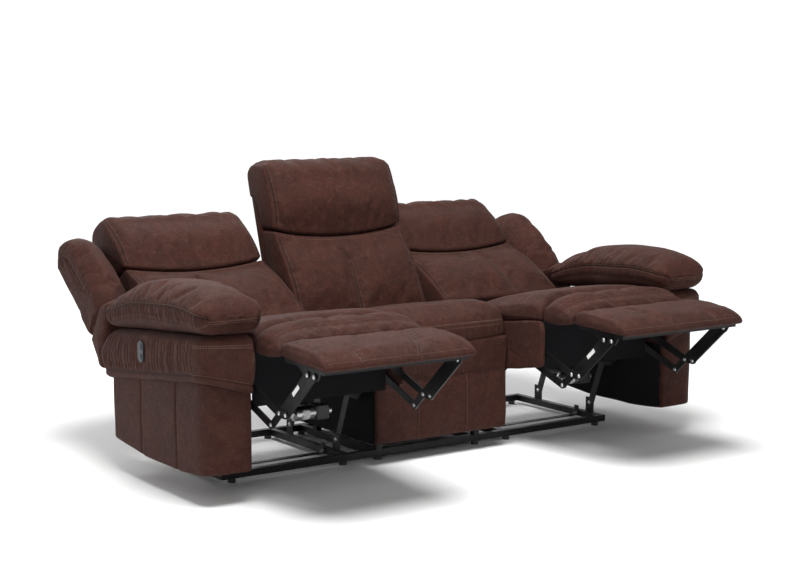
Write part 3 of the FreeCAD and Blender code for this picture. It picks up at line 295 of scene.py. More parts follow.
def gathers_tree():
    """Pushes the marked band out and in along its normals, in ridges of uneven height."""
    g = Growth("gathers", Pitch=0.022, Depth=0.004, Seed=3)
    along, share = g.named("along"), g.named("gather")
    place = g.node("GeometryNodeInputPosition")
    wander = g.node("ShaderNodeTexNoise", {"Vector": place, "Scale": 21.0, "Detail": 1.0})
    uneven = g.node(
        "ShaderNodeTexNoise", {"W": along * 31 + g.given["Seed"], "Scale": 1.0, "Detail": 1.0},
        noise_dimensions="1D",
    )
    turns = along / g.given["Pitch"] + wander * 1.3 + uneven * 1.1
    wave = g.node("ShaderNodeMath", {0: turns * math.pi}, operation="SINE")
    ridge = g.node("ShaderNodeMath", {0: wave}, operation="ABSOLUTE") ** 0.75
    height = (ridge - 0.55) * (uneven * 1.2 + 0.35) * share * g.given["Depth"]
    normal = g.node("GeometryNodeInputNormal")
    offset = g.node("ShaderNodeVectorMath", {0: normal, "Scale": height}, operation="SCALE")
    moved = g.node("GeometryNodeSetPosition", {"Geometry": g.given["Geometry"], "Offset": offset})
    return g.end(moved, finish_of("hide"))


def stitches_tree():
    """Lays short rounded stitches along every edge path."""
    g = Growth("stitches", Pitch=0.0095, Length=0.0065, Radius=0.0009)
    path = g.node("GeometryNodeMeshToCurve", {"Mesh": g.given["Geometry"]})
    spaced = g.node("GeometryNodeResampleCurve", {"Curve": path, "Length": g.given["Pitch"]}, mode="LENGTH")
    ball = g.node("GeometryNodeMeshUVSphere", {"Segments": 6, "Rings": 4, "Radius": 1.0})
    radius = g.given["Radius"]
    size = g.node("ShaderNodeCombineXYZ", {"X": radius, "Y": radius, "Z": g.given["Length"] / 2})
    return g.end(g.set_on(spaced, ball, g.node("GeometryNodeInputTangent"), size), finish_of("thread"))


def rivets_tree():
    """Sets a domed head with a turned rim on every point, facing along its aim."""
    g = Growth("rivets", Radius=0.0075)
    dome = g.node("GeometryNodeMeshUVSphere", {"Segments": 14, "Rings": 8, "Radius": 1.0})
    low = g.node("GeometryNodeTransform", {"Geometry": dome, "Scale": (0.72, 0.72, 0.42)})
    rim = g.node("GeometryNodeMeshCylinder", {"Vertices": 16, "Radius": 1.0, "Depth": 0.24})
    head = g.node("GeometryNodeJoinGeometry", {"Geometry": low})
    g.tree.links.new(rim.socket, head.socket.node.inputs["Geometry"])
    size = g.given["Radius"] * g.named("size")
    return g.end(g.set_on(g.given["Geometry"], head, g.named("aim", "FLOAT_VECTOR"), size), finish_of("zinc"))


def paint(colour):
    if isinstance(colour, Value):
        return colour
    return (*colour, 1.0)


def leather():
    """Soft brown suede hide: warm and dark clouds, rubbed grain, fine pebbles, slack creases and painted shade in
    the seam grooves.
    """
    shades = setting("sofa_leather")
    f = Finish("hide")
    clouds = f.ramp(f.noise(3.2, 3, 0.6, 0.6), (0.34, 0.0), (0.66, 1.0))
    patches = f.ramp(f.noise(14.0, 4, 0.62, 1.1), (0.42, 0.0), (0.66, 1.0))
    mottle = f.ramp(f.noise(110.0, 4, 0.7, 0.4), (0.36, 0.0), (0.64, 1.0))
    rub = f.ramp(f.noise(40.0, 6, 0.74, 0.9), (0.48, 0.0), (0.72, 1.0))
    grain = f.noise(520.0, 3, 0.6)
    pebbles = f.node("ShaderNodeTexVoronoi", {"Vector": f.place, "Scale": 420.0}, feature="F1")
    creases = f.ramp(f.noise(34.0, 5, 0.66, 2.2), (0.40, 0.0), (0.5, 1.0), (0.60, 0.35))
    colour = f.mix(clouds, shades.middle, shades.red)
    colour = f.mix(patches * 0.50, colour, shades.dark)
    colour = f.mix(rub * 0.50 * mottle, colour, shades.worn)
    colour = f.mix((1 - mottle) * 0.42, colour, shades.dark)
    # Painted shade: the seam mark darkens the hide to a deeper brown in the seam grooves.
    colour = f.mix(f.mark("seam") * 0.62, colour, tuple(shade * 0.55 for shade in shades.dark))
    height = pebbles * 0.35 + grain * 0.5
    fine = f.bump(height, 0.6, shades.grain)
    slack = f.bump(creases * 0.5 + mottle * 0.6, 0.55, 0.0024, fine)
    roughness = 0.56 + grain * 0.16 + (1 - rub) * 0.12
    return f.close(
        Base_Color=colour, Roughness=roughness, Normal=slack, Specular_IOR_Level=0.14,
        Sheen_Weight=0.02, Sheen_Roughness=0.45,
    )


def black_steel():
    f = Finish("black_steel")
    orange_peel = f.noise(260.0, 3, 0.5)
    dust = f.ramp(f.noise(14.0, 5, 0.7), (0.45, 0.0), (0.8, 1.0))
    colour = f.mix(dust * 0.25, (0.0040, 0.0040, 0.0044), (0.018, 0.0175, 0.0175))
    normal = f.bump(orange_peel, 0.22, 0.0004)
    return f.close(
        Base_Color=colour, Roughness=0.42 + dust * 0.2, Normal=normal, Metallic=0.0, Specular_IOR_Level=0.3
    )


def bright_zinc():
    f = Finish("bright_zinc")
    streaks = f.noise(1.0, 4, 0.6, 0.0, f.stretched((60, 900, 900)))
    blush = f.noise(40.0, 3, 0.6)
    colour = f.mix(blush, (0.62, 0.62, 0.63), (0.42, 0.42, 0.44))
    normal = f.bump(streaks, 0.18, 0.0003)
    return f.close(Base_Color=colour, Roughness=0.24 + streaks * 0.16, Metallic=1.0, Normal=normal)


def plastic(name, sparks, smudges, share, shades, roughness, spread, strength):
    """Moulded plastic with a fine spark texture and faint smudges."""
    f = Finish(name)
    spark = f.noise(sparks, 2, 0.5)
    smudge = f.noise(smudges, 4, 0.6)
    colour = f.mix(smudge * share, *shades)
    normal = f.bump(spark, strength, 0.0003)
    return f.close(Base_Color=colour, Roughness=roughness + smudge * spread, Normal=normal)


def black_plastic():
    shades = (0.012, 0.012, 0.013), (0.03, 0.03, 0.032)
    return plastic("black_plastic", 700.0, 18.0, 0.6, shades, 0.42, 0.14, 0.3)


def grey_plastic():
    shades = (0.012, 0.014, 0.016), (0.026, 0.029, 0.032)
    return plastic("grey_plastic", 800.0, 30.0, 1.0, shades, 0.36, 0.15, 0.25)


def dust_cloth():
    """Black lining cloth with a fine plain weave."""
    f = Finish("dust_cloth")
    weft, warp = (
        f.node("ShaderNodeTexWave", {"Vector": f.place, "Scale": 260.0}, 1, wave_type="BANDS", bands_direction=way)
        for way in "XZ"
    )
    cloudy = f.noise(7.0, 4, 0.6)
    colour = f.mix(cloudy, (0.0035, 0.0036, 0.0042), (0.0085, 0.0088, 0.0105))
    return f.close(
        Base_Color=colour, Roughness=0.85 + cloudy * 0.1, Normal=f.bump(weft * warp, 0.35, 0.0005),
        Specular_IOR_Level=0.15,
    )


def thread():
    shades = setting("sofa_leather")
    f = Finish("thread")
    twist = f.noise(900.0, 2, 0.5)
    colour = f.mix(twist, shades.thread, tuple(shade * 0.55 for shade in shades.thread))
    return f.close(Base_Color=colour, Roughness=0.7 + twist * 0.15, Normal=f.bump(twist, 0.4, 0.0002))


def blank_label():
    f = Finish("blank_label")
    fibre = f.noise(300.0, 3, 0.6)
    colour = f.mix(fibre, (0.74, 0.74, 0.73), (0.62, 0.62, 0.61))
    return f.close(Base_Color=colour, Roughness=0.55 + fibre * 0.2, Normal=f.bump(fibre, 0.2, 0.0002))


MAKERS = {
    "hide": leather, "steel": black_steel, "zinc": bright_zinc, "black_plastic": black_plastic,
    "grey_plastic": grey_plastic, "cloth": dust_cloth, "thread": thread, "label": blank_label,
}
finishes = {}


def finish_of(name):
    if name not in finishes:
        finishes[name] = MAKERS[name]()
    return finishes[name]


# Forms


def upright(points):
    """Millimetres to metres, in the row frame."""
    moved = np.array(points, float) * MM
    moved[..., 1] += FEET_LINE
    return moved


def reclined(points):
    """The same, with an end back's upright drawing turned to where it lies at rest."""
    moved = np.array(points, float)
    y, z = moved[..., 1] - UPRIGHT_PIVOT[0], moved[..., 2] - UPRIGHT_PIVOT[1]
    c, s = math.cos(RECLINE_ANGLE), math.sin(RECLINE_ANGLE)
    moved[..., 1] = RECLINE_PIVOT[0] + y * c + z * s
    moved[..., 2] = RECLINE_PIVOT[1] - y * s + z * c
    return upright(moved)


SWELL_BLEND = 18.0


class Outline:
    """A closed outline with rounded corners; each side swells out by its bulge."""

    def __init__(self, corners):
        points, swells = [], []
        count = len(corners)
        area = sum(a[0] * b[1] - b[0] * a[1] for a, b in zip(corners, corners[1:] + corners[:1]))
        turn = 1 if area > 0 else -1
        starts, ends, arcs = [], [], []
        for i, (a, b, radius, bulge) in enumerate(corners):
            here = np.array((a, b), float)
            before = np.array(corners[i - 1][:2], float) - here
            after = np.array(corners[(i + 1) % count][:2], float) - here
            reach = min(radius, 0.45 * np.linalg.norm(before), 0.45 * np.linalg.norm(after))
            first = here + before / np.linalg.norm(before) * reach
            last = here + after / np.linalg.norm(after) * reach
            steps = np.linspace(0, 1, 9)[:, None]
            arcs.append((1 - steps) ** 2 * first + 2 * steps * (1 - steps) * here + steps**2 * last)
            starts.append(last)
            ends.append(first)
        for i in range(count):
            points += list(arcs[i])
            swells += [np.zeros(2)] * len(arcs[i])
            start, end = starts[i], ends[(i + 1) % count]
            run = end - start
            length = np.linalg.norm(run)
            out = np.array((run[1], -run[0])) / max(length, 1e-6) * turn
            for t in np.linspace(0, 1, max(3, int(length / 4)))[1:-1]:
                points.append(start + run * t)
                swells.append(out * corners[i][3] * math.sin(math.pi * t) ** 0.8)
        points, swells = np.array(points + points[:1]), np.array(swells + swells[:1])
        steps = np.linalg.norm(np.diff(points, axis=0), axis=1)
        lengths = np.concatenate([[0], np.cumsum(steps)])
        self.total = lengths[-1]
        count = int(self.total / 2)
        self.lengths = np.linspace(0, self.total, count + 1)
        even = [[np.interp(self.lengths, lengths, table[:, k]) for k in (0, 1)] for table in (points, swells)]
        self.points, swells = np.array(even[0]).T, np.array(even[1]).T[:-1]
        reach = np.minimum(np.arange(count), count - np.arange(count)) * self.total / count
        weight = np.fft.rfft(np.exp(-((reach / SWELL_BLEND) ** 2)))[:, None]
        smooth = np.fft.irfft(np.fft.rfft(swells, axis=0) * weight / abs(weight[0]), count, axis=0)
        self.swells = np.concatenate([smooth, smooth[:1]])
        ahead = np.roll(self.points[:-1], -1, axis=0) - np.roll(self.points[:-1], 1, axis=0)
        ahead /= np.maximum(np.linalg.norm(ahead, axis=1), 1e-9)[:, None]
        normals = np.stack([ahead[:, 1], -ahead[:, 0]], axis=1) * turn
        self.normals = np.concatenate([normals, normals[:1]])

    def place(self, a, b):
        """Length along the outline to the point nearest (a, b)."""
        return self.lengths[int(np.argmin(np.linalg.norm(self.points - np.array((a, b)), axis=1)))]

    def at(self, lengths):
        parts = []
        for table in (self.points, self.swells, self.normals):
            parts.append(np.stack([np.interp(lengths, self.lengths, table[:, k]) for k in (0, 1)], axis=1))
        return parts


def spread(start, end, step, seams=(), closed=False):
    """Evenly spaced places with close lines beside each seam."""
    places = list(np.linspace(start, end, max(2, int(round((end - start) / step)) + 1)))
    if closed:
        places = places[:-1]
    for seam in seams:
        places = [p for p in places if abs(p - seam) > 0.75 * step]
        places += [seam - 7, seam - 2.5, seam, seam + 2.5, seam + 7]
    if closed:
        places = [p % (end - start) for p in places]
    return np.array(sorted(places))


class Skin:
    """A closed form made of rings, with a pole at each end."""

    def __init__(self, name, rings, stations, lengths, total):
        self.name = name
        self.rings = np.array(rings, float)
        self.stations = np.array(stations, float)
        self.lengths = np.array(lengths, float)
        self.total = total
        shape = self.rings.shape[:2]
        # The seam mark holds the painted shade along the seam grooves; gather and along place the ruching of the
        # bands.
        self.marks = {"seam": np.zeros(shape), "gather": np.zeros(shape), "along": np.zeros(shape)}
        self.s = self.stations[:, None] * np.ones(shape)
        self.r = self.lengths[None, :] * np.ones(shape)

    def normals(self):
        along = np.gradient(self.rings, axis=0)
        around = (np.roll(self.rings, -1, axis=1) - np.roll(self.rings, 1, axis=1)) / 2
        out = np.cross(along, around)
        out /= np.maximum(np.linalg.norm(out, axis=2), 1e-9)[..., None]
        centre = self.rings.mean(axis=(0, 1))
        return out if ((self.rings - centre) * out).sum() > 0 else -out

    def away(self, path):
        """Distance on the surface's own plan from a path of (station, length) places."""
        nearest = np.full(self.s.shape, 1e9)
        for (s0, r0), (s1, r1) in zip(path, path[1:]):
            ds, dr = s1 - s0, r1 - r0
            run = max(ds * ds + dr * dr, 1e-9)
            for shift in (-self.total, 0, self.total):
                r = self.r + shift
                t = np.clip(((self.s - s0) * ds + (r - r0) * dr) / run, 0, 1)
                nearest = np.minimum(nearest, np.hypot(self.s - s0 - t * ds, r - r0 - t * dr))
        return nearest

    def groove(self, path, depth=5.0, width=7.0):
        """Draws the cover in along a seam, with small puckers beside it, and marks the groove for painted shade."""
        gap = self.away(path)
        near = np.exp(-((gap / width) ** 2))
        pucker = 1 + 0.35 * np.sin(self.s * 0.31 + self.r * 0.27) * np.sin(self.s * 0.13 - self.r * 0.11)
        self.rings -= self.normals() * (near * depth * pucker)[..., None]
        # The seam mark is painted shade: it darkens the hide in the crease of the groove.
        self.marks["seam"] = np.maximum(self.marks["seam"], np.exp(-((gap / 3.2) ** 2)))

    def gather(self, where, along):
        """Marks a band for ruching; along is the place along the band in mm."""
        self.marks["gather"] = np.maximum(self.marks["gather"], where)
        self.marks["along"] = np.where(where > 0, along * MM, self.marks["along"])

    def roughen(self, height, size, seed, mask=1.0):
        """Slack in the cover: a slow wave along the normals."""
        out = self.normals()
        amount = np.zeros(self.s.shape)
        for i in range(amount.shape[0]):
            for j in range(amount.shape[1]):
                x, y, z = self.rings[i, j] / size
                amount[i, j] = noise.noise(Vector((x + seed, y - seed, z + 0.37 * seed)))
        self.rings += out * (amount * mask * height)[..., None]

    def to_mesh(self):
        """Points and faces; each end is closed by a strip of quads across its last ring."""
        ni, nj = self.rings.shape[:2]
        faces = []
        for i in range(ni - 1):
            for j in range(nj):
                k = (j + 1) % nj
                faces.append((i * nj + j, i * nj + k, (i + 1) * nj + k, (i + 1) * nj + j))
        for base, turned_over in ((0, True), ((ni - 1) * nj, False)):
            a, b = 0, nj - 1
            while b - a > 1:
                strip = (a, a + 1, b) if b - a == 2 else (a, a + 1, b - 1, b)
                strip = tuple(base + k for k in strip)
                faces.append(strip[::-1] if turned_over else strip)
                a, b = a + 1, b - 1
        return self.rings.reshape(-1, 3), faces


def loft(name, start, end, shape, to3d, lengths, total, radii=(18, 18), rims=((), ()), push=5.0, seams=(),
         grid=None):
    """A skin from start to end, both ends rounded and closed; shape(place) gives points, normals and centre."""
    step = grid or setting("sofa_cushions").grid
    sides = []
    for k, (edge, sign) in enumerate(((start, 1), (end, -1))):
        radius, rim = radii[k], rims[k]
        last = rim[-1] if rim else 0
        levels = []
        for number, toward in ((3, 0.8), (2, 0.5), (1, 0.25)):
            swell = push * (1 - (1 - toward) ** 2)
            levels.append((edge - sign * swell, edge - sign * (last + 15 * number), radius + last, toward))
        for inset in reversed(rim):
            levels.append((edge, edge - sign * inset, radius + inset, 0))
        for angle in (90, 67.5, 45, 22.5):
            a = math.radians(angle)
            place = edge + sign * radius * (1 - math.sin(a))
            levels.append((place, place, radius * (1 - math.cos(a)), 0))
        sides.append(levels)
    inner = [(x, x, 0, 0) for x in spread(start + radii[0], end - radii[1], step, seams)]
    levels = sides[0] + inner + sides[1][::-1]
    rings = []
    for place, _, inset, toward in levels:
        points, normals, centre = shape(min(max(place, start), end))
        flat = points - normals * inset
        flat = flat + (centre - flat) * toward
        rings.append(to3d(place, flat))
    return Skin(name, rings, [level[1] for level in levels], lengths, total)


def along_x(x, flat):
    return np.column_stack([np.full(len(flat), x), flat])


def sunk(floor, depth=0.34):
    """Lets the ends of a cushion sink towards its floor, which gives a height at each y."""

    def reshape(x, s, points):
        low = floor(points[:, 0])
        return np.column_stack([points[:, 0], low + (points[:, 1] - low) * (1 - depth * s**5)])

    return reshape


def cross(name, corners, x0, x1, anchor, draw, power=6, reshape=None, **ends):
    """A cushion along X with one YZ outline, drawn in to the anchor at its ends or reshaped on the way."""
    outline = Outline(corners)
    step = ends.get("grid") or setting("sofa_cushions").grid
    lengths = spread(0, outline.total, step, closed=True)
    base, swell, normals = outline.at(lengths)
    anchor = np.array(anchor)
    middle, half = (x0 + x1) / 2, (x1 - x0) / 2

    def shape(x):
        s = abs(x - middle) / half
        points = anchor + (base - anchor) * (1 - draw * s**power) + swell * (1 - 0.5 * s**4)
        if reshape:
            points = reshape(x, s, points)
        return points, normals, points.mean(axis=0)

    skin = loft(name, x0, x1, shape, along_x, lengths, outline.total, **ends)
    skin.outline = outline
    return skin


def free_area(skin, x0, x1, r0, r1, edge=26.0, held=()):
    """1 where the cover is free to puff: between two ends and two lengths, except beside its seams."""
    depth = np.where((skin.r >= r0) & (skin.r <= r1), np.minimum(skin.r - r0, r1 - skin.r), -1)
    depth = np.minimum(depth, np.minimum(skin.s - x0, x1 - skin.s))
    for path in held:
        depth = np.minimum(depth, skin.away(path) - 3)
    return np.round(np.clip(depth / edge, 0, 1) * 4) / 4


def signed_volume(points, faces):
    corners = np.array([(f[0], f[k], f[k + 1]) for f in faces for k in range(1, len(f) - 1)])
    a, b, c = (points[corners[:, k]] for k in range(3))
    return float(np.einsum("ij,ij->i", a, np.cross(b, c)).sum())


def new_object(name, points, faces, marks=None):
    """A mesh object with its faces turned outward and its marks stored on its points."""
    points = np.array(points, float)
    if signed_volume(points - points.mean(axis=0), faces) < 0:
        faces = [tuple(reversed(face)) for face in faces]
    mesh = bpy.data.meshes.new(name)
    mesh.from_pydata([tuple(p) for p in points], [], faces)
    mesh.update()
    for mark, values in (marks or {}).items():
        layer = mesh.attributes.new(mark, "FLOAT", "POINT")
        table = np.zeros(len(points), np.float32)
        table[: values.size] = values.reshape(-1)
        layer.data.foreach_set("value", table)
    mesh.polygons.foreach_set("use_smooth", [True] * len(mesh.polygons))
    made = bpy.data.objects.new(name, mesh)
    bpy.context.scene.collection.objects.link(made)
    return made


def puff(skin, loose, cap):
    """Lets the filling push the free part of the cover out, by at most cap mm, with the seams held."""
    settings = setting("sofa_cushions")
    points, faces = skin.to_mesh()
    rest = upright(points)
    made = new_object(skin.name + "_trial", rest, faces)
    ni, nj = skin.rings.shape[:2]
    held = np.ones(len(points))
    held[: ni * nj] = 1 - loose.reshape(-1)
    group = made.vertex_groups.new(name="held")
    for level in (1.0, 0.75, 0.5, 0.25):
        chosen = [int(i) for i in np.nonzero(np.abs(held - level) < 0.125)[0]]
        if chosen:
            group.add(chosen, level, "REPLACE")
    cloth = made.modifiers.new("cloth", "CLOTH")
    cloth.settings.vertex_group_mass = "held"
    cloth.settings.use_pressure = True
    cloth.settings.uniform_pressure_force = settings.pressure
    cloth.settings.shrink_min = -settings.looseness
    cloth.settings.quality = 4
    cloth.settings.effector_weights.gravity = 0
    cloth.point_cache.frame_start = 1
    cloth.point_cache.frame_end = settings.frames
    scene = bpy.context.scene
    for number in range(1, settings.frames + 1):
        scene.frame_set(number)
    shaped = made.evaluated_get(bpy.context.evaluated_depsgraph_get())
    moved = np.zeros(len(points) * 3)
    shaped.data.vertices.foreach_get("co", moved)
    shift = (moved.reshape(-1, 3) - rest) * 1000
    if not np.isfinite(shift).all():
        raise RuntimeError(f"{skin.name}: the cover came apart")
    size = np.linalg.norm(shift, axis=1)
    shift *= np.minimum(1.0, cap / np.maximum(size, 1e-6))[:, None]
    skin.rings += shift[: ni * nj].reshape(ni, nj, 3)
    mesh = made.data
    bpy.data.objects.remove(made)
    bpy.data.meshes.remove(mesh)
    scene.frame_set(1)


WORDS = {1: "right_", -1: "left_", 0: ""}
covers = {}


def cover(skin, side, place, body, replaced=(), levels=1, pitch=None, depth=None, lining=None):
    """Turns a skin into the finished piece of one side, riding on its body."""
    points, faces = skin.to_mesh()
    points, rings = place(points), place(skin.rings)
    if side < 0:
        points[:, 0] *= -1
        rings[..., 0] *= -1
    made = new_object(WORDS[side] + skin.name, points, faces, skin.marks)
    made.data.materials.append(finish_of("hide"))
    smooth = made.modifiers.new("smooth", "SUBSURF")
    smooth.levels = smooth.render_levels = levels
    if pitch:
        grow(made, tree_of("gathers"), Pitch=pitch * MM, Depth=depth * MM)
    settle(made)
    if lining:
        made.data.materials.append(finish_of("cloth"))
        for face in made.data.polygons:
            if lining(face.center, face.normal):
                face.material_index = 1
    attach(made, body)
    if replaced:
        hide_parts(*replaced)
    mesh = made.data
    tree = BVHTree.FromPolygons([v.co for v in mesh.vertices], [tuple(p.vertices) for p in mesh.polygons])
    covers[made.name] = (skin, rings, tree)
    return made


stitch_rows = {}


def surface_point(name, station, length):
    """A point on a finished cover, a little proud of it."""
    skin, rings, tree = covers[name]
    i = float(np.interp(station, skin.stations, np.arange(len(skin.stations))))
    j = float(np.interp(length % skin.total, skin.lengths, np.arange(len(skin.lengths))))
    i0, j0 = min(int(i), rings.shape[0] - 2), min(int(j), rings.shape[1] - 2)
    u, v = i - i0, j - j0
    low = rings[i0, j0] * (1 - v) + rings[i0, j0 + 1] * v
    high = rings[i0 + 1, j0] * (1 - v) + rings[i0 + 1, j0 + 1] * v
    point, normal, _, _ = tree.find_nearest(Vector(low * (1 - u) + high * u))
    return point + normal * THREAD_RISE * MM


def stitch(body, name, path, step=8.0):
    """Notes a row of stitches along a path of (station, length) places on a finished cover."""
    points = []
    for (s0, r0), (s1, r1) in zip(path, path[1:]):
        count = max(1, int(math.hypot(s1 - s0, r1 - r0) / step))
        for k in range(count):
            t = k / count
            points.append(surface_point(name, s0 + (s1 - s0) * t, r0 + (r1 - r0) * t))
    points.append(surface_point(name, *path[-1]))
    stitch_rows.setdefault(body, []).append(points)


def stitch_facing(body, name, x0, x1, y, z, step=8.0):
    """Notes a level row of stitches on the front of a finished cover, seen from a line ahead of it in mm."""
    points = []
    for x in np.linspace(x0, x1, int(abs(x1 - x0) / step) + 1):
        point, normal, _, _ = covers[name][2].ray_cast(Vector(upright([(x, y, z)])[0]), Vector((0, 1, 0)))
        if point is not None:
            points.append(point + normal * THREAD_RISE * MM)
    stitch_rows.setdefault(body, []).append(points)


def twin(body, name, path, apart):
    """Two rows of stitches, one on each side of a path."""
    for sign in (-1, 1):
        moved = []
        for k, (s, r) in enumerate(path):
            a, b = path[max(k - 1, 0)], path[min(k + 1, len(path) - 1)]
            run = math.hypot(b[0] - a[0], b[1] - a[1])
            aside, ahead = (b[1] - a[1]) / run * apart / 2, (b[0] - a[0]) / run * apart / 2
            moved.append((s - aside * sign, r + ahead * sign))
        stitch(body, name, moved)


# Backs, drawn upright

HEAD_CORNERS = [
    (592, 803, 8, 0), (703, 803, 6, 0), (758, 925, 4, 0), (803, 925, 8, 0), (831, 1034, 24, 2),
    (792, 1071, 34, 2), (690, 1071, 60, 4), (655, 1018, 60, 20),
]
LUMBAR_CORNERS = [
    (404, 470, 34, 4), (424, 456, 20, 0), (602, 456, 8, 0), (704, 801, 6, 0), (604, 802, 7, 0), (592, 787, 11, 24),
]


CREASE_HEIGHT, CREASE_REACH, CREASE_SAG = 803, 70, 30
LUMBAR_TOP = (593, 782)
BACK_RADII = (12, 12)


def sagging(x, s, points):
    """The crease between head and lumbar hangs lower in its middle."""
    near = np.exp(-(((points[:, 1] - CREASE_HEIGHT) / CREASE_REACH) ** 2))
    return points - np.column_stack([near * 0, near * CREASE_SAG * (1 - s * s)])


def build_back_cushions(x0, x1, channel):
    """The head and lumbar cushions of one back, with the lumbar's sewn channel at x = channel."""
    head = cross("head_cushion", HEAD_CORNERS, x0, x1, (735, 900), 0.09, 8, sagging, radii=BACK_RADII)
    start = head.outline.place(792, 1071)
    free = free_area(head, x0 + 6, x1 - 6, start, head.total - 8)
    head.roughen(2.4, 120, 3.1 + x0 * 0.01, free)
    puff(head, free, 16)
    lumbar = cross(
        "lumbar_cushion", LUMBAR_CORNERS, x0, x1, (690, 790), 0.02, 6, sagging,
        radii=BACK_RADII, seams=(channel,),
    )
    high = lumbar.outline.place(*LUMBAR_TOP)
    seam = [(channel - 12, high + 60), (channel, high + 130), (channel, lumbar.total - 4)]
    free = free_area(lumbar, x0 + 6, x1 - 6, high, lumbar.total - 6, 26, [seam[1:]])
    lumbar.roughen(2.6, 130, 1.3 + x0 * 0.01, free)
    puff(lumbar, free, 20)
    lumbar.groove(seam, 6)
    for skin, low in ((head, start), (lumbar, high)):
        skin.roughen(1.1, 38, 5.5)
        for edge in (x0 + 12, x1 - 12):
            skin.groove([(edge, low), (edge, skin.total - 4)], 3.5, 6)
    return head, lumbar, seam


def cover_back(parts, side, place, body, word):
    """Finishes the cushions of one back, with the stitches along their seams."""
    head, lumbar, seam = parts
    prefix = "" if side else "middle_"
    head.name, lumbar.name = prefix + "head_cushion", prefix + "lumbar_cushion"
    head_name = cover(head, side, place, body, (f"{word}_head_cushion",)).name
    lumbar_name = cover(lumbar, side, place, body, (f"{word}_lumbar_cushion",)).name
    x0, x1 = lumbar.stations[7], lumbar.stations[-8]
    high = lumbar.outline.place(*LUMBAR_TOP)
    twin(body, lumbar_name, seam[1:], 11)
    for x in (x0 + 8, x1 - 8):
        stitch(body, lumbar_name, [(x, high + 12), (x, lumbar.total - 14)])
        stitch(body, head_name, [(x, head.total - 380), (x, head.total - 24)])
    for drop in (-9, 0):
        stitch(body, lumbar_name, [(x0 + 30, high + drop), (x1 - 30, high + drop)])


def build_shell(word, side, place, body, x0, x1):
    """The upholstered board of a back, with the hinge arms of a reclining one."""
    corners = [(589, 401, 10, 0), (774, 1029, 10, 0), (817, 1029, 12, 0), (632, 401, 10, 0)]
    title = "back_board" if side else "middle_back_board"
    board = cross(title, corners, x0, x1, (703, 715), 0.0, radii=(9, 9), push=0)
    rear = (board.outline.place(815, 1020), board.outline.place(636, 410))
    for x in (x0 + 26, x1 - 26):
        board.groove([(x, rear[0]), (x, rear[1])], 2.4, 6)
    name = cover(board, side, place, body, (f"{word}_back_shell",)).name
    for x in (x0 + 34, x1 - 34):
        stitch(body, name, [(x, rear[0]), (x, rear[1])])
    if side:
        for x in (327, 903):
            arm = plate("hinge_arm", x, 5, [UPRIGHT_PIVOT, (605.5, 440.1)], 20)
            hard(arm, side, place, body, "steel", f"_{x}")


# Metal forms


def plate(name, x, thick, pivots, radius):
    """A flat link with round ends, as (name, points, faces) in mm."""
    (ay, az), (by, bz) = pivots
    angle = math.atan2(bz - az, by - ay)
    outline = []
    for centre, start in (((by, bz), angle - math.pi / 2), ((ay, az), angle + math.pi / 2)):
        for k in range(13):
            a = start + math.pi * k / 12
            outline.append((centre[0] + radius * math.cos(a), centre[1] + radius * math.sin(a)))
    return prism(name, x, thick, outline)


def prism(name, x, thick, outline):
    count = len(outline)
    points = [(x, y, z) for y, z in outline] + [(x + thick, y, z) for y, z in outline]
    faces = [tuple(range(count)), tuple(range(2 * count - 1, count - 1, -1))]
    faces += [(k, (k + 1) % count, (k + 1) % count + count, k + count) for k in range(count)]
    return name, points, faces


def turned(name, profile, origin, axis):
    """A lathe form: profile of (distance along the axis, radius)."""
    sides = 28
    points = []
    for distance, radius in profile:
        for k in range(sides):
            a = 2 * math.pi * k / sides
            u, v = radius * math.cos(a), radius * math.sin(a)
            offset = {"x": (distance, u, v), "y": (u, distance, v), "z": (u, v, distance)}[axis]
            points.append(tuple(o + d for o, d in zip(origin, offset)))
    rows = len(profile)
    faces = [tuple(range(sides)), tuple(range(rows * sides - 1, (rows - 1) * sides - 1, -1))]
    for i in range(rows - 1):
        for k in range(sides):
            n = (k + 1) % sides
            faces.append((i * sides + k, i * sides + n, (i + 1) * sides + n, (i + 1) * sides + k))
    return name, points, faces


def brick(name, low, high):
    points = [(x, y, z) for x in (low[0], high[0]) for y in (low[1], high[1]) for z in (low[2], high[2])]
    faces = [(0, 1, 3, 2), (4, 6, 7, 5), (0, 4, 5, 1), (2, 3, 7, 6), (0, 2, 6, 4), (1, 5, 7, 3)]
    return name, points, faces


def hard(form, side, place, body, material, suffix="", bevel=1.0, replaced=()):
    """Finishes a metal or plastic form with softened edges."""
    name, points, faces = form
    points = place(points)
    if side < 0:
        points[:, 0] *= -1
    made = new_object(WORDS[side] + name + suffix, points, faces)
    made.data.materials.append(finish_of(material))
    made.data.set_sharp_from_angle(angle=math.radians(35))
    if bevel:
        soften = made.modifiers.new("bevel", "BEVEL")
        soften.width = bevel * MM
        soften.segments = 2
        soften.limit_method = "ANGLE"
        soften.harden_normals = True
    settle(made)
    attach(made, body)
    if replaced:
        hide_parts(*replaced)
    return made


# Operators


class SofaOperator:
    bl_options = {"REGISTER"}


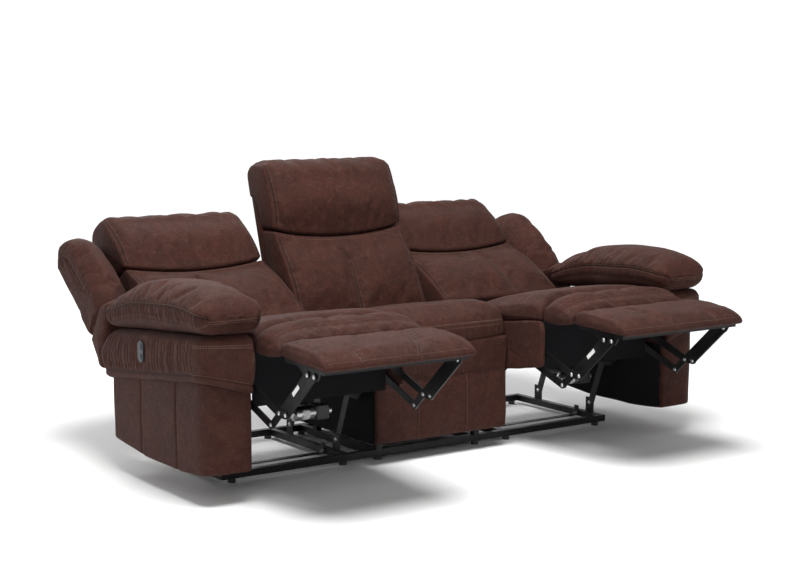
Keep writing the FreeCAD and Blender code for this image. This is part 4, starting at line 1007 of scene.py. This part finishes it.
class SOFA_OT_stage(SofaOperator, bpy.types.Operator):
    """Makes the floor, the studio lights and the camera"""

    bl_idname = "sofa.stage"
    bl_label = "Stage"

    def execute(self, context):
        settings = setting("sofa_stage")
        scene = context.scene
        scene.view_settings.view_transform = "Standard"
        sweep = self.floor(scene, tuple(settings.floor))
        self.lights(scene)
        data = bpy.data.cameras.new("camera")
        data.lens = settings.lens
        data.sensor_width = 36
        camera = bpy.data.objects.new("camera", data)
        camera.location = settings.camera_place
        yaw, pitch = math.radians(settings.camera_yaw), math.radians(settings.camera_pitch)
        look = Vector((math.sin(yaw) * math.cos(pitch), math.cos(yaw) * math.cos(pitch), -math.sin(pitch)))
        camera.rotation_euler = look.to_track_quat("-Z", "Y").to_euler()
        scene.collection.objects.link(camera)
        scene.camera = camera
        return {"FINISHED"}

    def floor(self, scene, pale):
        """A floor that sweeps up behind the sofa, and glows a little where it is far away."""
        floor = bpy.data.meshes.new("floor")
        reach, depth, height, rounding = 90.0, 30.0, 40.0, 3.0
        profile = [(-reach, 0.0), (depth, 0.0)]
        profile += [
            (depth + rounding * math.sin(a), rounding * (1 - math.cos(a)))
            for a in (math.radians(90) * k / 12 for k in range(1, 13))
        ]
        profile.append((depth + rounding, height))
        points, faces = [], []
        for y, z in profile:
            points += [(-reach, y, z - 0.0005), (reach, y, z - 0.0005)]
        for k in range(len(profile) - 1):
            faces.append((2 * k, 2 * k + 1, 2 * k + 3, 2 * k + 2))
        floor.from_pydata(points, [], faces)
        floor.polygons.foreach_set("use_smooth", [True] * len(floor.polygons))
        sweep = bpy.data.objects.new("floor", floor)
        scene.collection.objects.link(sweep)
        f = Finish("studio_floor")
        faint = f.noise(2.0, 2, 0.5)
        colour = f.mix(faint * 0.1, pale, tuple(shade * 0.97 for shade in pale))
        away = f.node("ShaderNodeVectorMath", {0: f.place}, output=1, operation="LENGTH") / 10
        glow = {"Emission_Color": f.ramp(away, (0.22, 0.0), (0.55, 1.0)), "Emission_Strength": 0.55}
        floor.materials.append(f.close(Base_Color=colour, Roughness=0.9 + faint * 0.05, **glow))
        return sweep

    def lights(self, scene):
        """A pale world and three soft lamps."""
        world = bpy.data.worlds.new("studio")
        world.use_nodes = True
        world.node_tree.nodes["Background"].inputs["Color"].default_value = (1.0, 1.0, 1.0, 1)
        world.node_tree.nodes["Background"].inputs["Strength"].default_value = 0.34
        scene.world = world
        for name, place, aim, size, power in (
            ("key", (-0.9, -1.3, 4.6), (0, 0, 0.4), 2.6, 330),
            ("fill", (-3.6, -4.2, 2.4), (0, 0, 0.4), 3.0, 40),
            ("rim", (0.5, 3.6, 3.8), (0, 0.2, 0.7), 3.0, 90),
        ):
            light = bpy.data.lights.new(name, "AREA")
            light.shape = "DISK"
            light.size = size
            light.energy = power
            lamp = bpy.data.objects.new(name, light)
            lamp.location = place
            lamp.rotation_euler = (Vector(aim) - Vector(place)).to_track_quat("-Z", "Y").to_euler()
            scene.collection.objects.link(lamp)


class SOFA_OT_backs(SofaOperator, bpy.types.Operator):
    """Makes the boards, head cushions and lumbar cushions of the three backs"""

    bl_idname = "sofa.backs"
    bl_label = "Backs"

    def execute(self, context):
        parts = build_back_cushions(-302, 302, -13)
        cover_back(parts, 0, upright, "base", "middle")
        build_shell("middle", 0, upright, "base", -300, 300)
        parts = build_back_cushions(322, 914, 683)
        for word, side in SIDES:
            cover_back(parts, side, reclined, f"{word}_back", word)
            build_shell(word, side, reclined, f"{word}_back", 324, 912)
        return {"FINISHED"}


WING_CORNERS = [(462, 651, 16, 0), (664, 561, 8, 0), (803, 908, 22, 6), (698, 982, 46, 8), (560, 932, 62, 16)]
SKIRT_CORNERS = [
    (457.8, 641.6, 12, 0), (420, 612, 20, 3), (430, 556, 20, 0), (474, 431, 12, 0), (476, 358, 12, 2),
    (512, 356, 14, 0), (582, 452, 3, 2),
]
WING_INNER, WING_OUTER, WING_FOREMOST = 914.6, 1097, 1040
WING_LOW_REAR, WING_REAR_LEAN, WING_LOW_LEAN = (664, 561), 0.395, 0.44
SKIRT_TOP = (457.8, 641.6), (579, 450.7)


def recess(x):
    """The share by which a wing's front has gone back towards its rear edge at x."""
    outward = np.clip((x - WING_INNER) / 182.4, 0, 1) ** 1.6
    inward = np.clip((WING_FOREMOST - x) / 125.4, 0, 1) ** 1.2
    return 0.30 * outward + 0.72 * inward


def receding(x, s, points):
    """The wing's front goes back; its lowest corner slides along the lower edge."""
    y, z = points.T
    rear = WING_LOW_REAR[0] + (z - WING_LOW_REAR[1]) * WING_REAR_LEAN
    back = (rear - y) * recess(x)
    return np.column_stack([y + back, z - back * WING_LOW_LEAN * np.clip((700 - z) / 60, 0, 1)])


def following(x, s, points):
    """The skirt's upper edge follows the wing's lower one; the front corner slides along it."""
    start, end = np.array(SKIRT_TOP[0]), np.array(SKIRT_TOP[1])
    run = end - start
    length = np.linalg.norm(run)
    along = (points - start) @ run / length**2
    off = np.abs((points - start) @ np.array((run[1], -run[0]))) / length
    share = np.clip(1 - along, 0, 1) * np.exp(-((off / 34) ** 2)) * recess(x)
    return points + share[:, None] * run


def within(values, low, high, edge):
    """1 well between low and high, falling to 0 at both over a soft edge."""
    return np.clip(np.minimum(values - low, high - values) / edge, 0, 1)


def build_wing():
    wing = cross(
        "wing_cushion", WING_CORNERS, WING_INNER, WING_OUTER, (640, 800), 0.0, 3, receding,
        radii=(14, 30), rims=((), (6, 14, 20, 26, 38, 50, 56, 62)), push=3,
    )
    top, front = wing.outline.place(803, 908), wing.outline.place(698, 982)
    free = free_area(wing, 922, 1112, top, wing.total - 2, 30)
    wing.roughen(2.6, 90, 8.1)
    puff(wing, free, 18)
    for inset, start in ((20, top + 20), (56, front)):
        wing.groove([(WING_OUTER + inset, start), (WING_OUTER + inset, wing.total - 14)], 3.6, 6)
    side = within(wing.s, WING_OUTER + 16, WING_OUTER + 60, 6)
    strip = np.maximum(side, 0.35 * within(wing.s, WING_OUTER - 30, WING_OUTER + 22, 8))
    wrap = np.clip(np.minimum(wing.r - top - 20, wing.total - 10 - wing.r) / 30, 0, 1)
    wing.gather(strip * wrap, wing.r)
    return wing


class SOFA_OT_wings(SofaOperator, bpy.types.Operator):
    """Makes the wing beside each end back and the soft skirt that folds behind the arm"""

    bl_idname = "sofa.wings"
    bl_label = "Wings"

    def execute(self, context):
        wing = build_wing()
        front = (wing.outline.place(698, 982), wing.total - 2)
        skirt = cross(
            "wing_skirt", SKIRT_CORNERS, 915, 1098, (520, 510), 0.0, 3, following, radii=(8, 18), push=3
        )
        skirt.roughen(4, 70, 2.2)
        for word, side in SIDES:
            body = f"{word}_back"
            name = cover(wing, side, reclined, body, (f"{word}_wing_cushion",), 2, 19, 3.4).name
            for inset in (15, 61):
                stitch(body, name, [(WING_OUTER + inset, front[0]), (WING_OUTER + inset, front[1])])
            made = cover(skirt, side, upright, body, (f"{word}_wing_skirt",))
            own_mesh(made)
        return {"FINISHED"}


ARM_LINING_X = 0.9205


def inner_face(centre, normal):
    """Whether a face of an arm, in metres, is on the side that the lining covers."""
    return abs(centre.x) < ARM_LINING_X and abs(normal.x) > 0.5


class SOFA_OT_arms(SofaOperator, bpy.types.Operator):
    """Makes the lower box, the gathered band and the pillow of each arm"""

    bl_idname = "sofa.arms"
    bl_label = "Arms"

    def execute(self, context):
        panel, band, pillow = build_arm_panel(), build_arm_band(), build_pillow()
        for word, side in SIDES:
            body = f"{word}_carriage"
            name = cover(panel, side, upright, body, (f"{word}_arm_panel",), lining=inner_face).name
            for length in panel.seam_lengths:
                stitch(body, name, [(0.06, length - 5), (0.94, length - 5)], step=0.02)
            name = cover(band, side, upright, body, (f"{word}_arm_band",), 2, 23, 4.4).name
            front = band.front
            for level in (0.80, 0.76, 0.16):
                stitch(body, name, [(level, front[0]), (level, front[1])])
            for k in range(int((front[1] - front[0]) / 9)):
                length = front[0] + 9 * k
                stitch(body, name, [(0.76, length), (0.80, length)], step=4)
            name = cover(pillow, side, upright, body, (f"{word}_arm_pillow",), 2, 23, 4.6).name
            seam = pillow.inner_seam
            for length in (6, pillow.total - 42, pillow.total - 48, seam - 6, seam + 7):
                stitch(body, name, [(pillow.stations[3], length), (340, length)])
            for rise in (616, 623):
                stitch_facing(body, name, 916 * side, 1094 * side, -400, rise)
        return {"FINISHED"}


ARM_PLAN = [(919, -299, 14, 0), (1099, -299, 62, 3), (1099, 414, 44, 3), (919, 414, 14, 0)]


def stack(name, plan, levels, to3d, seams=()):
    """A skin of levels, bottom to top, each (station, inset) on one plan outline."""
    outline = Outline(plan)
    lengths = spread(0, outline.total, 9.0, [outline.place(*seam) for seam in seams], closed=True)
    base, swell, normals = outline.at(lengths)
    centre = base.mean(axis=0)
    rings = []
    first, last = levels[0], levels[-1]
    whole = [(first[0], first[1], t) for t in (0.8, 0.5, 0.25)] + [(s, inset, 0) for s, inset in levels]
    whole += [(last[0], last[1], t) for t in (0.25, 0.5, 0.8)]
    stations = []
    for number, (station, inset, toward) in enumerate(whole):
        flat = base + swell - normals * inset
        flat = flat + (centre - flat) * toward
        rings.append(to3d(station, flat))
        stations.append(station + (number - 3) * 1e-6 * (toward > 0))
    skin = Skin(name, rings, stations, lengths, outline.total)
    skin.outline = outline
    return skin


CONTROL_Y, CONTROL_Z = 110, 472
BAND_FACE = 1118


def arm_low(y):
    """Height of the arm's lower edge."""
    return np.interp(y, (-300, -110, 145, 403, 415), (108, 95, 98, 123, 124))


def arm_split(x, y):
    """Height where the lower box ends and the band starts."""
    return 428 - (y + 300) * (85 / 715) - (1100 - x) * (56 / 182)


def build_arm_panel():
    levels = [(0.0, 9), (0.008, 4), (0.025, 0.5)]
    levels += [(t, 0.0) for t in np.linspace(0.06, 0.97, 22)] + [(1.0, 3)]

    def to3d(t, flat):
        x, y = flat[:, 0], flat[:, 1]
        low, high = arm_low(y), arm_split(x, y) + 2
        y = np.where(y > 300, y - 10 * (1 - t) * (y - 300) / 115, y)
        return np.column_stack([x, y, low + (high - low) * t])

    seams = [(1099, 160), (1099, -100)]
    panel = stack("arm_panel", ARM_PLAN, levels, to3d, seams)
    panel.roughen(3.0, 150, 4.4)
    panel.seam_lengths = [panel.outline.place(*seam) for seam in seams]
    for length in panel.seam_lengths:
        panel.groove([(0.02, length), (0.98, length)], 5.0, 6)
    return panel


def build_arm_band():
    plan = [(919, -318, 16, 0), (1118, -318, 54, 3), (1118, 432, 46, 6), (919, 432, 16, 0)]
    levels = [(0.0, 17), (0.012, 8), (0.035, 2), (0.07, 0), (0.11, 2.2), (0.14, 3.6), (0.18, 1.5)]
    levels += [(t, -5 * math.sin(math.pi * (t - 0.18) / 0.62)) for t in np.linspace(0.22, 0.78, 13)]
    levels += [(0.82, 0.5), (0.86, 3), (0.9, 7), (0.94, 13), (0.97, 20), (1.0, 32)]

    def to3d(t, flat):
        x, y = flat[:, 0], flat[:, 1]
        low = arm_split(x, y) - 7
        high = 574 - (y + 318) * (50 / 669)
        rear = np.interp(t, (0, 0.25, 0.5, 0.8, 1), (0, 22, 27, -20, -66))
        share = np.clip((y - 120) / 310, 0, 1) ** 1.6
        return np.column_stack([x, y + rear * share, low + (high - low) * t])

    band = stack("arm_band", plan, levels, to3d)
    band.roughen(2.6, 80, 6.3)
    # A seam mark along the crease at 0.14 of the band's height: painted shade in the groove.
    band.marks["seam"] = np.maximum(band.marks["seam"], np.exp(-(((band.s - 0.14) / 0.012) ** 2)))
    corner, rear = band.outline.place(1118, -280), band.outline.place(1100, 432)
    inside = np.clip(np.minimum(band.r - corner, rear + 60 - band.r) / 30, 0, 1)
    height = np.clip(np.minimum(band.s - 0.15, 0.9 - band.s) / 0.06, 0, 1)
    x, y, z = band.rings[..., 0], band.rings[..., 1], band.rings[..., 2]
    away = np.where(x > 1060, np.hypot(y - CONTROL_Y, (z - CONTROL_Z) * 0.7), 999.0)
    flat = BAND_FACE - 1.0 + 8 * np.clip((away - 34) / 26, 0, 1)
    band.rings[..., 0] = np.where(away < 60, np.minimum(x, flat), x)
    band.gather(inside * height * np.clip((away - 30) / 24, 0, 1), band.r)
    band.front = (band.outline.place(935, -318), band.outline.place(1118, -262))
    return band


PILLOW_OUTER = 1125


def build_pillow():
    y0, y1, top, count = -330, 408, 718, (46, 36)
    upper, lower = 480.0, 380.0
    lengths = list(np.linspace(0, upper, count[0], endpoint=False))
    lengths += list(upper + np.linspace(0, lower, count[1], endpoint=False))

    def even(x, z, number):
        run = np.concatenate([[0], np.cumsum(np.hypot(np.diff(x), np.diff(z)))])
        places = np.linspace(0, run[-1], number, endpoint=False)
        return np.column_stack([np.interp(places, run, x), np.interp(places, run, z)])

    def shape(y):
        share = (y - y0) / (y1 - y0)
        base = 571 - (y + 318) * 0.0747
        front = 1 - 0.34 * max(0.0, 1 - share / 0.3) ** 2.0
        rear = 1 - 0.68 * max(0.0, (share - 0.34) / 0.66) ** 2.2
        height = 26 + (top - 26 - base) * min(front, rear)
        near = 884 + 38 * min(1.0, max(0.0, (share - 0.36) / 0.26))
        middle, half = (near + PILLOW_OUTER) / 2, (PILLOW_OUTER - near) / 2
        half *= 1 - 0.06 * max(0.0, (share - 0.85) / 0.15)
        seam = base + min(98, 0.6 * height)
        a = np.linspace(0, math.pi, 240)
        c, s = np.cos(a), np.sin(a)
        across = half * np.sign(c)
        dome = even(middle + across * np.abs(c) ** 0.8, seam + (base + height - seam) * s**0.82, count[0])
        belly = even(middle - across * np.abs(c) ** 0.5, seam - (seam - base) * np.abs(s) ** 0.8, count[1])
        points = np.concatenate([dome, belly])
        ahead = np.roll(points, -1, axis=0) - np.roll(points, 1, axis=0)
        ahead /= np.maximum(np.linalg.norm(ahead, axis=1), 1e-9)[:, None]
        normals = np.column_stack([ahead[:, 1], -ahead[:, 0]])
        return points, normals, np.array((middle, seam))

    def to3d(y, flat):
        return np.column_stack([flat[:, 0], np.full(len(flat), y), flat[:, 1]])

    ends = {"radii": (44, 26), "rims": ((10, 24), ()), "push": 7, "grid": 11}
    pillow = loft("arm_pillow", y0, y1, shape, to3d, lengths, upper + lower, **ends)
    pillow.inner_seam = upper
    dome = free_area(pillow, y0 - 90, y1 - 10, 4, upper - 4, 36)
    pillow.roughen(3.5, 110, 9.2)
    puff(pillow, dome, 9)
    for length in (0, upper):
        pillow.groove([(pillow.stations[0], length), (y1, length)], 3.6, 6)
    for length in (upper + lower - 45, upper + 45):
        pillow.groove([(pillow.stations[0], length), (y1 - 60, length)], 2.5, 7)
    outer = np.clip(np.minimum(pillow.r - (upper + lower - 62), 99) / 14, 0, 1) * (pillow.r > upper)
    outer = np.maximum(outer, 0.14 * np.clip(1 - pillow.r / 22, 0, 1))
    inner = 0.18 * np.clip(1 - np.abs(pillow.r - upper) / 26, 0, 1)
    fade = np.clip((y1 - 10 - pillow.s) / 30, 0, 1)
    pillow.gather(np.maximum(outer, inner) * fade, pillow.s + 500)
    return pillow


SEAT_CORNERS = [
    (-283, 507, 10, 0), (271, 440, 8, 0), (269, 466, 12, 0), (188, 504, 50, 12), (-195, 595, 70, 5),
    (-264, 588, 26, 3), (-285, 560, 16, 0),
]
BRIDGE_CORNERS = [
    (-287, 507, 8, 0), (-287, 577, 12, 6), (-345, 608, 36, 5), (-400, 590, 14, 4), (-453, 558, 4, 0),
    (-449, 519, 8, 5), (-345, 494, 34, 3),
]
BRIDGE_FLOOR = 494.0
PAD_CORNERS = [
    (-734, 497, 6, 0), (-456, 511, 8, 0), (-456, 554, 6, 0), (-484, 561, 30, 6), (-676, 552, 60, 3),
    (-738, 518, 10, 2),
]
SEAT_SIDE_CORNERS = [
    (-299, 333, 16, 0), (-53, 291, 30, 0), (273, 304, 8, 0), (273, 438, 6, 0), (-284, 505, 10, 0),
    (-299, 478, 16, 0),
]
DECK_OUTLINE = [(-285, 475.5), (-285, 505), (275, 437.8), (275, 408.3)]


def build_end_seat():
    deck = sunk(lambda y: 505 - (y + 285) * 0.12)
    seat = cross("seat_cushion", SEAT_CORNERS, 311, 906, (0, 470), 0.0, 5, deck, radii=(12, 14))
    free = free_area(seat, 318, 900, seat.outline.place(269, 466), seat.total - 6)
    seat.roughen(3, 120, 1.9)
    puff(seat, free, 10)
    return seat


def build_bridge():
    """The cloth from seat to footrest, and the length of its fold."""
    low = sunk(lambda y: np.full(len(y), BRIDGE_FLOOR))
    bridge = cross("leg_bridge", BRIDGE_CORNERS, 318, 908, (-340, 490), 0.0, 5, low, radii=(12, 14))
    bridge.roughen(2.6, 90, 5.2)
    fold = bridge.outline.place(-400, 590)
    free = free_area(bridge, 326, 896, 30, bridge.outline.place(-452, 556), 22, [[(316, fold), (908, fold)]])
    puff(bridge, free, 6)
    bridge.groove([(300, fold), (930, fold)], 5.5, 7)
    return bridge, fold


def build_pad():
    """The footrest cushion, the length of its front seam and the paths of its short seams."""
    pad = cross("footrest_pad", PAD_CORNERS, 324, 910.5, (-595, 520), 0.035, 5, radii=(12, 12), grid=11)
    front, heel = pad.outline.place(-735, 521), pad.outline.place(-484, 561)
    short = [
        [(770, front - 4), (768, front - 62)],
        [(470, heel + 8), (478, heel + 60), (520, front - 70), (556, front - 4)],
    ]
    free = free_area(pad, 332, 902, heel - 22, front - 4, 22, [[(324, front), (911, front)], *short])
    pad.roughen(2.6, 100, 7.1)
    puff(pad, free, 8)
    pad.groove([(300, front), (935, front)], 4.0, 5)
    for path in short:
        pad.groove(path, 3.6, 6)
    pad.gather(np.clip(1.4 - np.abs(pad.r - (front + 13)) / 11, 0, 1), pad.s)
    return pad, front, short


def build_seat_side():
    """The upholstered panel on the inner side of an end seat, slack on its outer face only."""
    ends = {"radii": (7, 4), "rims": ((6, 16, 30, 50), ()), "push": 0}
    panel = cross("seat_side", SEAT_SIDE_CORNERS, 304.5, 324, (0, 400), 0.0, 3, **ends)
    panel.roughen(3.0, 60, 3.3, (panel.s < 320).astype(float))
    return panel


class SOFA_OT_end_seats(SofaOperator, bpy.types.Operator):
    """Makes the cushions, the side panel and the footrest pad of each end seat"""

    bl_idname = "sofa.end_seats"
    bl_label = "End seats"

    def execute(self, context):
        seat = build_end_seat()
        bridge, fold = build_bridge()
        pad, front, short = build_pad()
        panel = build_seat_side()
        for word, side in SIDES:
            body, rest = f"{word}_carriage", f"{word}_footrest"
            cover(seat, side, upright, body, (f"{word}_seat_cushion",))
            made = cover(bridge, side, upright, body, (f"{word}_leg_bridge",))
            stitch(body, made.name, [(346, fold - 8), (886, fold - 8)])
            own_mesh(made)
            made = cover(pad, side, upright, rest, (f"{word}_footrest_pad",), 2, 12, 2.2)
            stitch(rest, made.name, [(340, front - 7), (894, front - 7)])
            for path in short:
                stitch(rest, made.name, [(s + 5, r) for s, r in path])
            cover(panel, side, upright, body, ())
            deck = prism("seat_deck", 324, 594, DECK_OUTLINE)
            hard(deck, side, upright, body, "cloth", replaced=(f"{word}_seat_deck",), bevel=3)
        return {"FINISHED"}


class SOFA_OT_middle_seat(SofaOperator, bpy.types.Operator):
    """Makes the cushion and the front panel of the fixed middle seat"""

    bl_idname = "sofa.middle_seat"
    bl_label = "Middle seat"

    def execute(self, context):
        corners = [
            (-104, 427, 3, 0), (436, 428, 10, 0), (430, 448, 10, 0), (382, 470, 30, 8), (64, 554, 90, 6),
            (-72, 540, 44, 5), (-105, 498, 24, 5),
        ]
        seat = cross("middle_seat_cushion", corners, -300, 300, (160, 440), 0.045, 5, radii=(22, 22))
        top = seat.outline.place(-105, 502)
        free = free_area(seat, -292, 292, seat.outline.place(430, 448), top, 26)
        seat.roughen(3, 120, 2.9)
        puff(seat, free, 9)
        seat.groove([(-330, top), (330, top)], 4.5, 6)
        seat.gather(np.clip(1.5 - np.abs(seat.r - (top + 40)) / 26, 0, 1), seat.s + 400)
        name = cover(seat, 0, upright, "base", ("middle_seat_cushion",), 2, 21, 3.4).name
        for x in np.arange(-268, 268, 9.0):
            stitch("base", name, [(x, top + 9), (x, top + 24)], step=5)
        stitch("base", name, [(-272, top + 6), (272, top + 6)])
        corners = [(-84, 76, 4, 0), (-84, 430, 3, 0), (-104, 430, 5, 6), (-100, 306, 3, 5), (-102, 76, 9, 0)]
        panel = cross("middle_front_panel", corners, -299, 299, (-84, 250), 0.0, radii=(9, 9), push=0)
        crease, foot = panel.outline.place(-100, 306), panel.outline.place(-102, 80)
        panel.groove([(-330, crease), (330, crease)], 5, 8)
        for x in (-115, 105):
            panel.groove([(x, crease + 4), (x, foot)], 3.4, 6)
        panel.roughen(2.4, 90, 4.9)
        name = cover(panel, 0, upright, "base", ("middle_front_panel",)).name
        for x in (-110, 110):
            stitch("base", name, [(x, crease + 8), (x, foot)])
        return {"FINISHED"}


OUTER_LINK, BRACKET, SWING = ((327, -1), (338, 1)), ((333, -1), (344, 1)), ((345, -1), (356, 1))
RIVETS = [
    ("upper", ((-442.9, 325.4), (-390.9, 278.6)), OUTER_LINK, 1.0),
    ("upper_front", ((-482.9, 325.4),), OUTER_LINK, 1.0),
    ("footrest", ((-607.1, 473.3), (-647.1, 473.3)), BRACKET, 1.0),
    ("lower", ((-161, 428),), ((332, 1),), 1.0),
    ("lower_rear", ((-109, 381.2),), ((332, 1),), 1.0),
    ("front_swing", ((80, 75),), SWING, 1.1),
    ("front_swing", ((9.6, 262.2),), ((350, 1),), 1.1),
    ("rear_swing", ((410, 75),), SWING, 1.1),
    ("rear_swing", ((339.6, 262.2),), ((350, 1),), 1.1),
    ("back", ((278, 319),), ((332, 1),), 1.2),
]
MOTOR_PROFILE = [
    (-86, 8), (-86, 13), (-82, 14), (-81, 23), (-79, 25.4), (-60, 25.6), (-58, 24.6), (-56, 25.6),
    (-22, 25.6), (-20, 24.6), (-18, 25.6), (-3, 25.6), (-1, 24), (2, 24),
]
BOSS_PROFILE = [(54, 10), (54, 19), (60, 19), (61, 14), (72, 14), (73, 8)]
TUBE_PROFILE = [
    (26, 15), (28, 17), (44, 17), (46, 13), (196, 13), (198, 15.5), (214, 15.5), (216, 9), (238, 9),
]
HANGER_OUTLINE = [(-44, 205), (4, 205), (8, 240), (22, 438), (-22, 443), (-30, 250)]


class SOFA_OT_mechanism(SofaOperator, bpy.types.Operator):
    """Makes the drive units, the rivets and the blank labels"""

    bl_idname = "sofa.mechanism"
    bl_label = "Mechanism"

    def execute(self, context):
        for word, side in SIDES:
            self.drive(word, side)
        heads = {}
        for word, side in SIDES:
            for body, places, faces, size in RIVETS:
                for (y, z), (x, aim) in itertools.product(places, faces):
                    rows = heads.setdefault(f"{word}_{body}", [])
                    rows.append((x * side, y, z, aim * side, size))
                    rows.append(((2 * MECHANISM_CENTRE - x) * side, y, z, -aim * side, size))
        for body, rows in heads.items():
            points = upright([(x, y, z) for x, y, z, _, _ in rows])
            mesh = bpy.data.meshes.new(f"{body}_rivets")
            mesh.from_pydata([tuple(p) for p in points], [], [])
            mesh.attributes.new("aim", "FLOAT_VECTOR", "POINT")
            mesh.attributes.new("size", "FLOAT", "POINT")
            for k, (_, _, _, way, size) in enumerate(rows):
                mesh.attributes["aim"].data[k].vector = (way, 0, 0)
                mesh.attributes["size"].data[k].value = size
            made = bpy.data.objects.new(mesh.name, mesh)
            context.scene.collection.objects.link(made)
            grow(made, tree_of("rivets"))
            settle(made)
            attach(made, body)
        return {"FINISHED"}

    def drive(self, word, side):
        """The drive unit of one end seat, the same way round on both, with its blank label."""
        x, y, z = MECHANISM_CENTRE * side + 100, -20, 215

        def fit(form, material, bevel=0.0, replaced=()):
            hard(form, 0, upright, f"{word}_carriage", material, f"_{word}", bevel, replaced)

        fit(turned("motor", MOTOR_PROFILE, (x, y, z), "x"), "zinc")
        gear = brick("gear_housing", (x, y - 28, z - 28), (x + 56, y + 28, z + 28))
        fit(gear, "black_plastic", 7, (f"{word}_actuator",))
        fit(turned("shaft_boss", BOSS_PROFILE, (x, y, z), "x"), "zinc")
        fit(turned("drive_tube", TUBE_PROFILE, (x + 28, y, z), "y"), "steel")
        fit(prism("hanger", x + 25, 6, HANGER_OUTLINE), "steel", 1.5)
        bend = np.radians(np.linspace(150, 235, 9))
        rim = [(y + 26.2 * math.cos(a), z + 26.2 * math.sin(a)) for a in bend]
        rim += [(y + 25.3 * math.cos(a), z + 25.3 * math.sin(a)) for a in bend[::-1]]
        fit(prism("motor_label", x - 52, 26, rim), "label")
        centre, along, across = (-541.4, 414.1), (-0.743, 0.669), (0.669, 0.743)
        corners = []
        for u, v in ((-25, -7), (25, -7), (25, 7), (-25, 7)):
            corners.append(tuple(c + u * a + v * b for c, a, b in zip(centre, along, across)))
        tag = prism("link_label", -902.5 if side < 0 else 332.5, 0.45, corners)
        hard(tag, 0, upright, f"{word}_upper", "label", f"_{word}", 0)


class SOFA_OT_seams(SofaOperator, bpy.types.Operator):
    """Lays the stitches of every noted row"""

    bl_idname = "sofa.seams"
    bl_label = "Seams"

    def execute(self, context):
        settings = setting("sofa_stitches")
        for body, rows in stitch_rows.items():
            points, edges = [], []
            for row in rows:
                first = len(points)
                points += [tuple(p) for p in row]
                edges += [(first + k, first + k + 1) for k in range(len(row) - 1)]
            mesh = bpy.data.meshes.new(f"{body}_stitches")
            mesh.from_pydata(points, edges, [])
            made = bpy.data.objects.new(mesh.name, mesh)
            context.scene.collection.objects.link(made)
            sizes = {"Pitch": settings.pitch, "Length": settings.length, "Radius": settings.radius}
            grow(made, tree_of("stitches"), **sizes)
            settle(made)
            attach(made, body)
        return {"FINISHED"}


FRAME_FINISHES = (
    ("glide_feet", "black_plastic"), ("dust_panel", "cloth"), ("control_plate", "grey_plastic"),
    ("button", "grey_plastic"), ("footrest_board", "steel"), ("links", "steel"), ("plates", "steel"),
    ("base_frame", "steel"), ("posts", "steel"), ("straps", "steel"), ("seat_box", "cloth"),
)


class SOFA_OT_frame(SofaOperator, bpy.types.Operator):
    """Gives the pieces of the frame that stay in view their finishes"""

    bl_idname = "sofa.frame"
    bl_label = "Frame finishes"

    def execute(self, context):
        for name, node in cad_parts.items():
            finish = next((finish for word, finish in FRAME_FINISHES if word in name), "hide")
            node.data.materials.clear()
            node.data.materials.append(finish_of(finish))
        return {"FINISHED"}


OPERATORS = [
    SOFA_OT_stage, SOFA_OT_frame, SOFA_OT_backs, SOFA_OT_wings, SOFA_OT_arms, SOFA_OT_end_seats,
    SOFA_OT_middle_seat, SOFA_OT_mechanism, SOFA_OT_seams,
]


class SOFA_PT_panel(bpy.types.Panel):
    """Lists the steps that build the sofa's looks"""

    bl_idname = "SOFA_PT_panel"
    bl_label = "Reclining sofa"
    bl_space_type = "VIEW_3D"
    bl_region_type = "UI"
    bl_category = "Sofa"

    def draw(self, context):
        for name, group in SETTINGS.items():
            column = self.layout.column(align=True)
            for prop in group.__annotations__:
                column.prop(getattr(context.scene, name), prop)
        for operator in OPERATORS:
            self.layout.operator(operator.bl_idname)


def register():
    for name, group in SETTINGS.items():
        bpy.utils.register_class(group)
        setattr(bpy.types.Scene, name, PointerProperty(type=group))
    for operator in OPERATORS:
        bpy.utils.register_class(operator)
    bpy.utils.register_class(SOFA_PT_panel)


def unregister():
    bpy.utils.unregister_class(SOFA_PT_panel)
    for operator in reversed(OPERATORS):
        bpy.utils.unregister_class(operator)
    for name, group in reversed(list(SETTINGS.items())):
        delattr(bpy.types.Scene, name)
        bpy.utils.unregister_class(group)


def main():
    register()
    for operator in OPERATORS:
        area, action = operator.bl_idname.split(".")
        getattr(getattr(bpy.ops, area), action)()


if __name__ == "__main__":
    main()
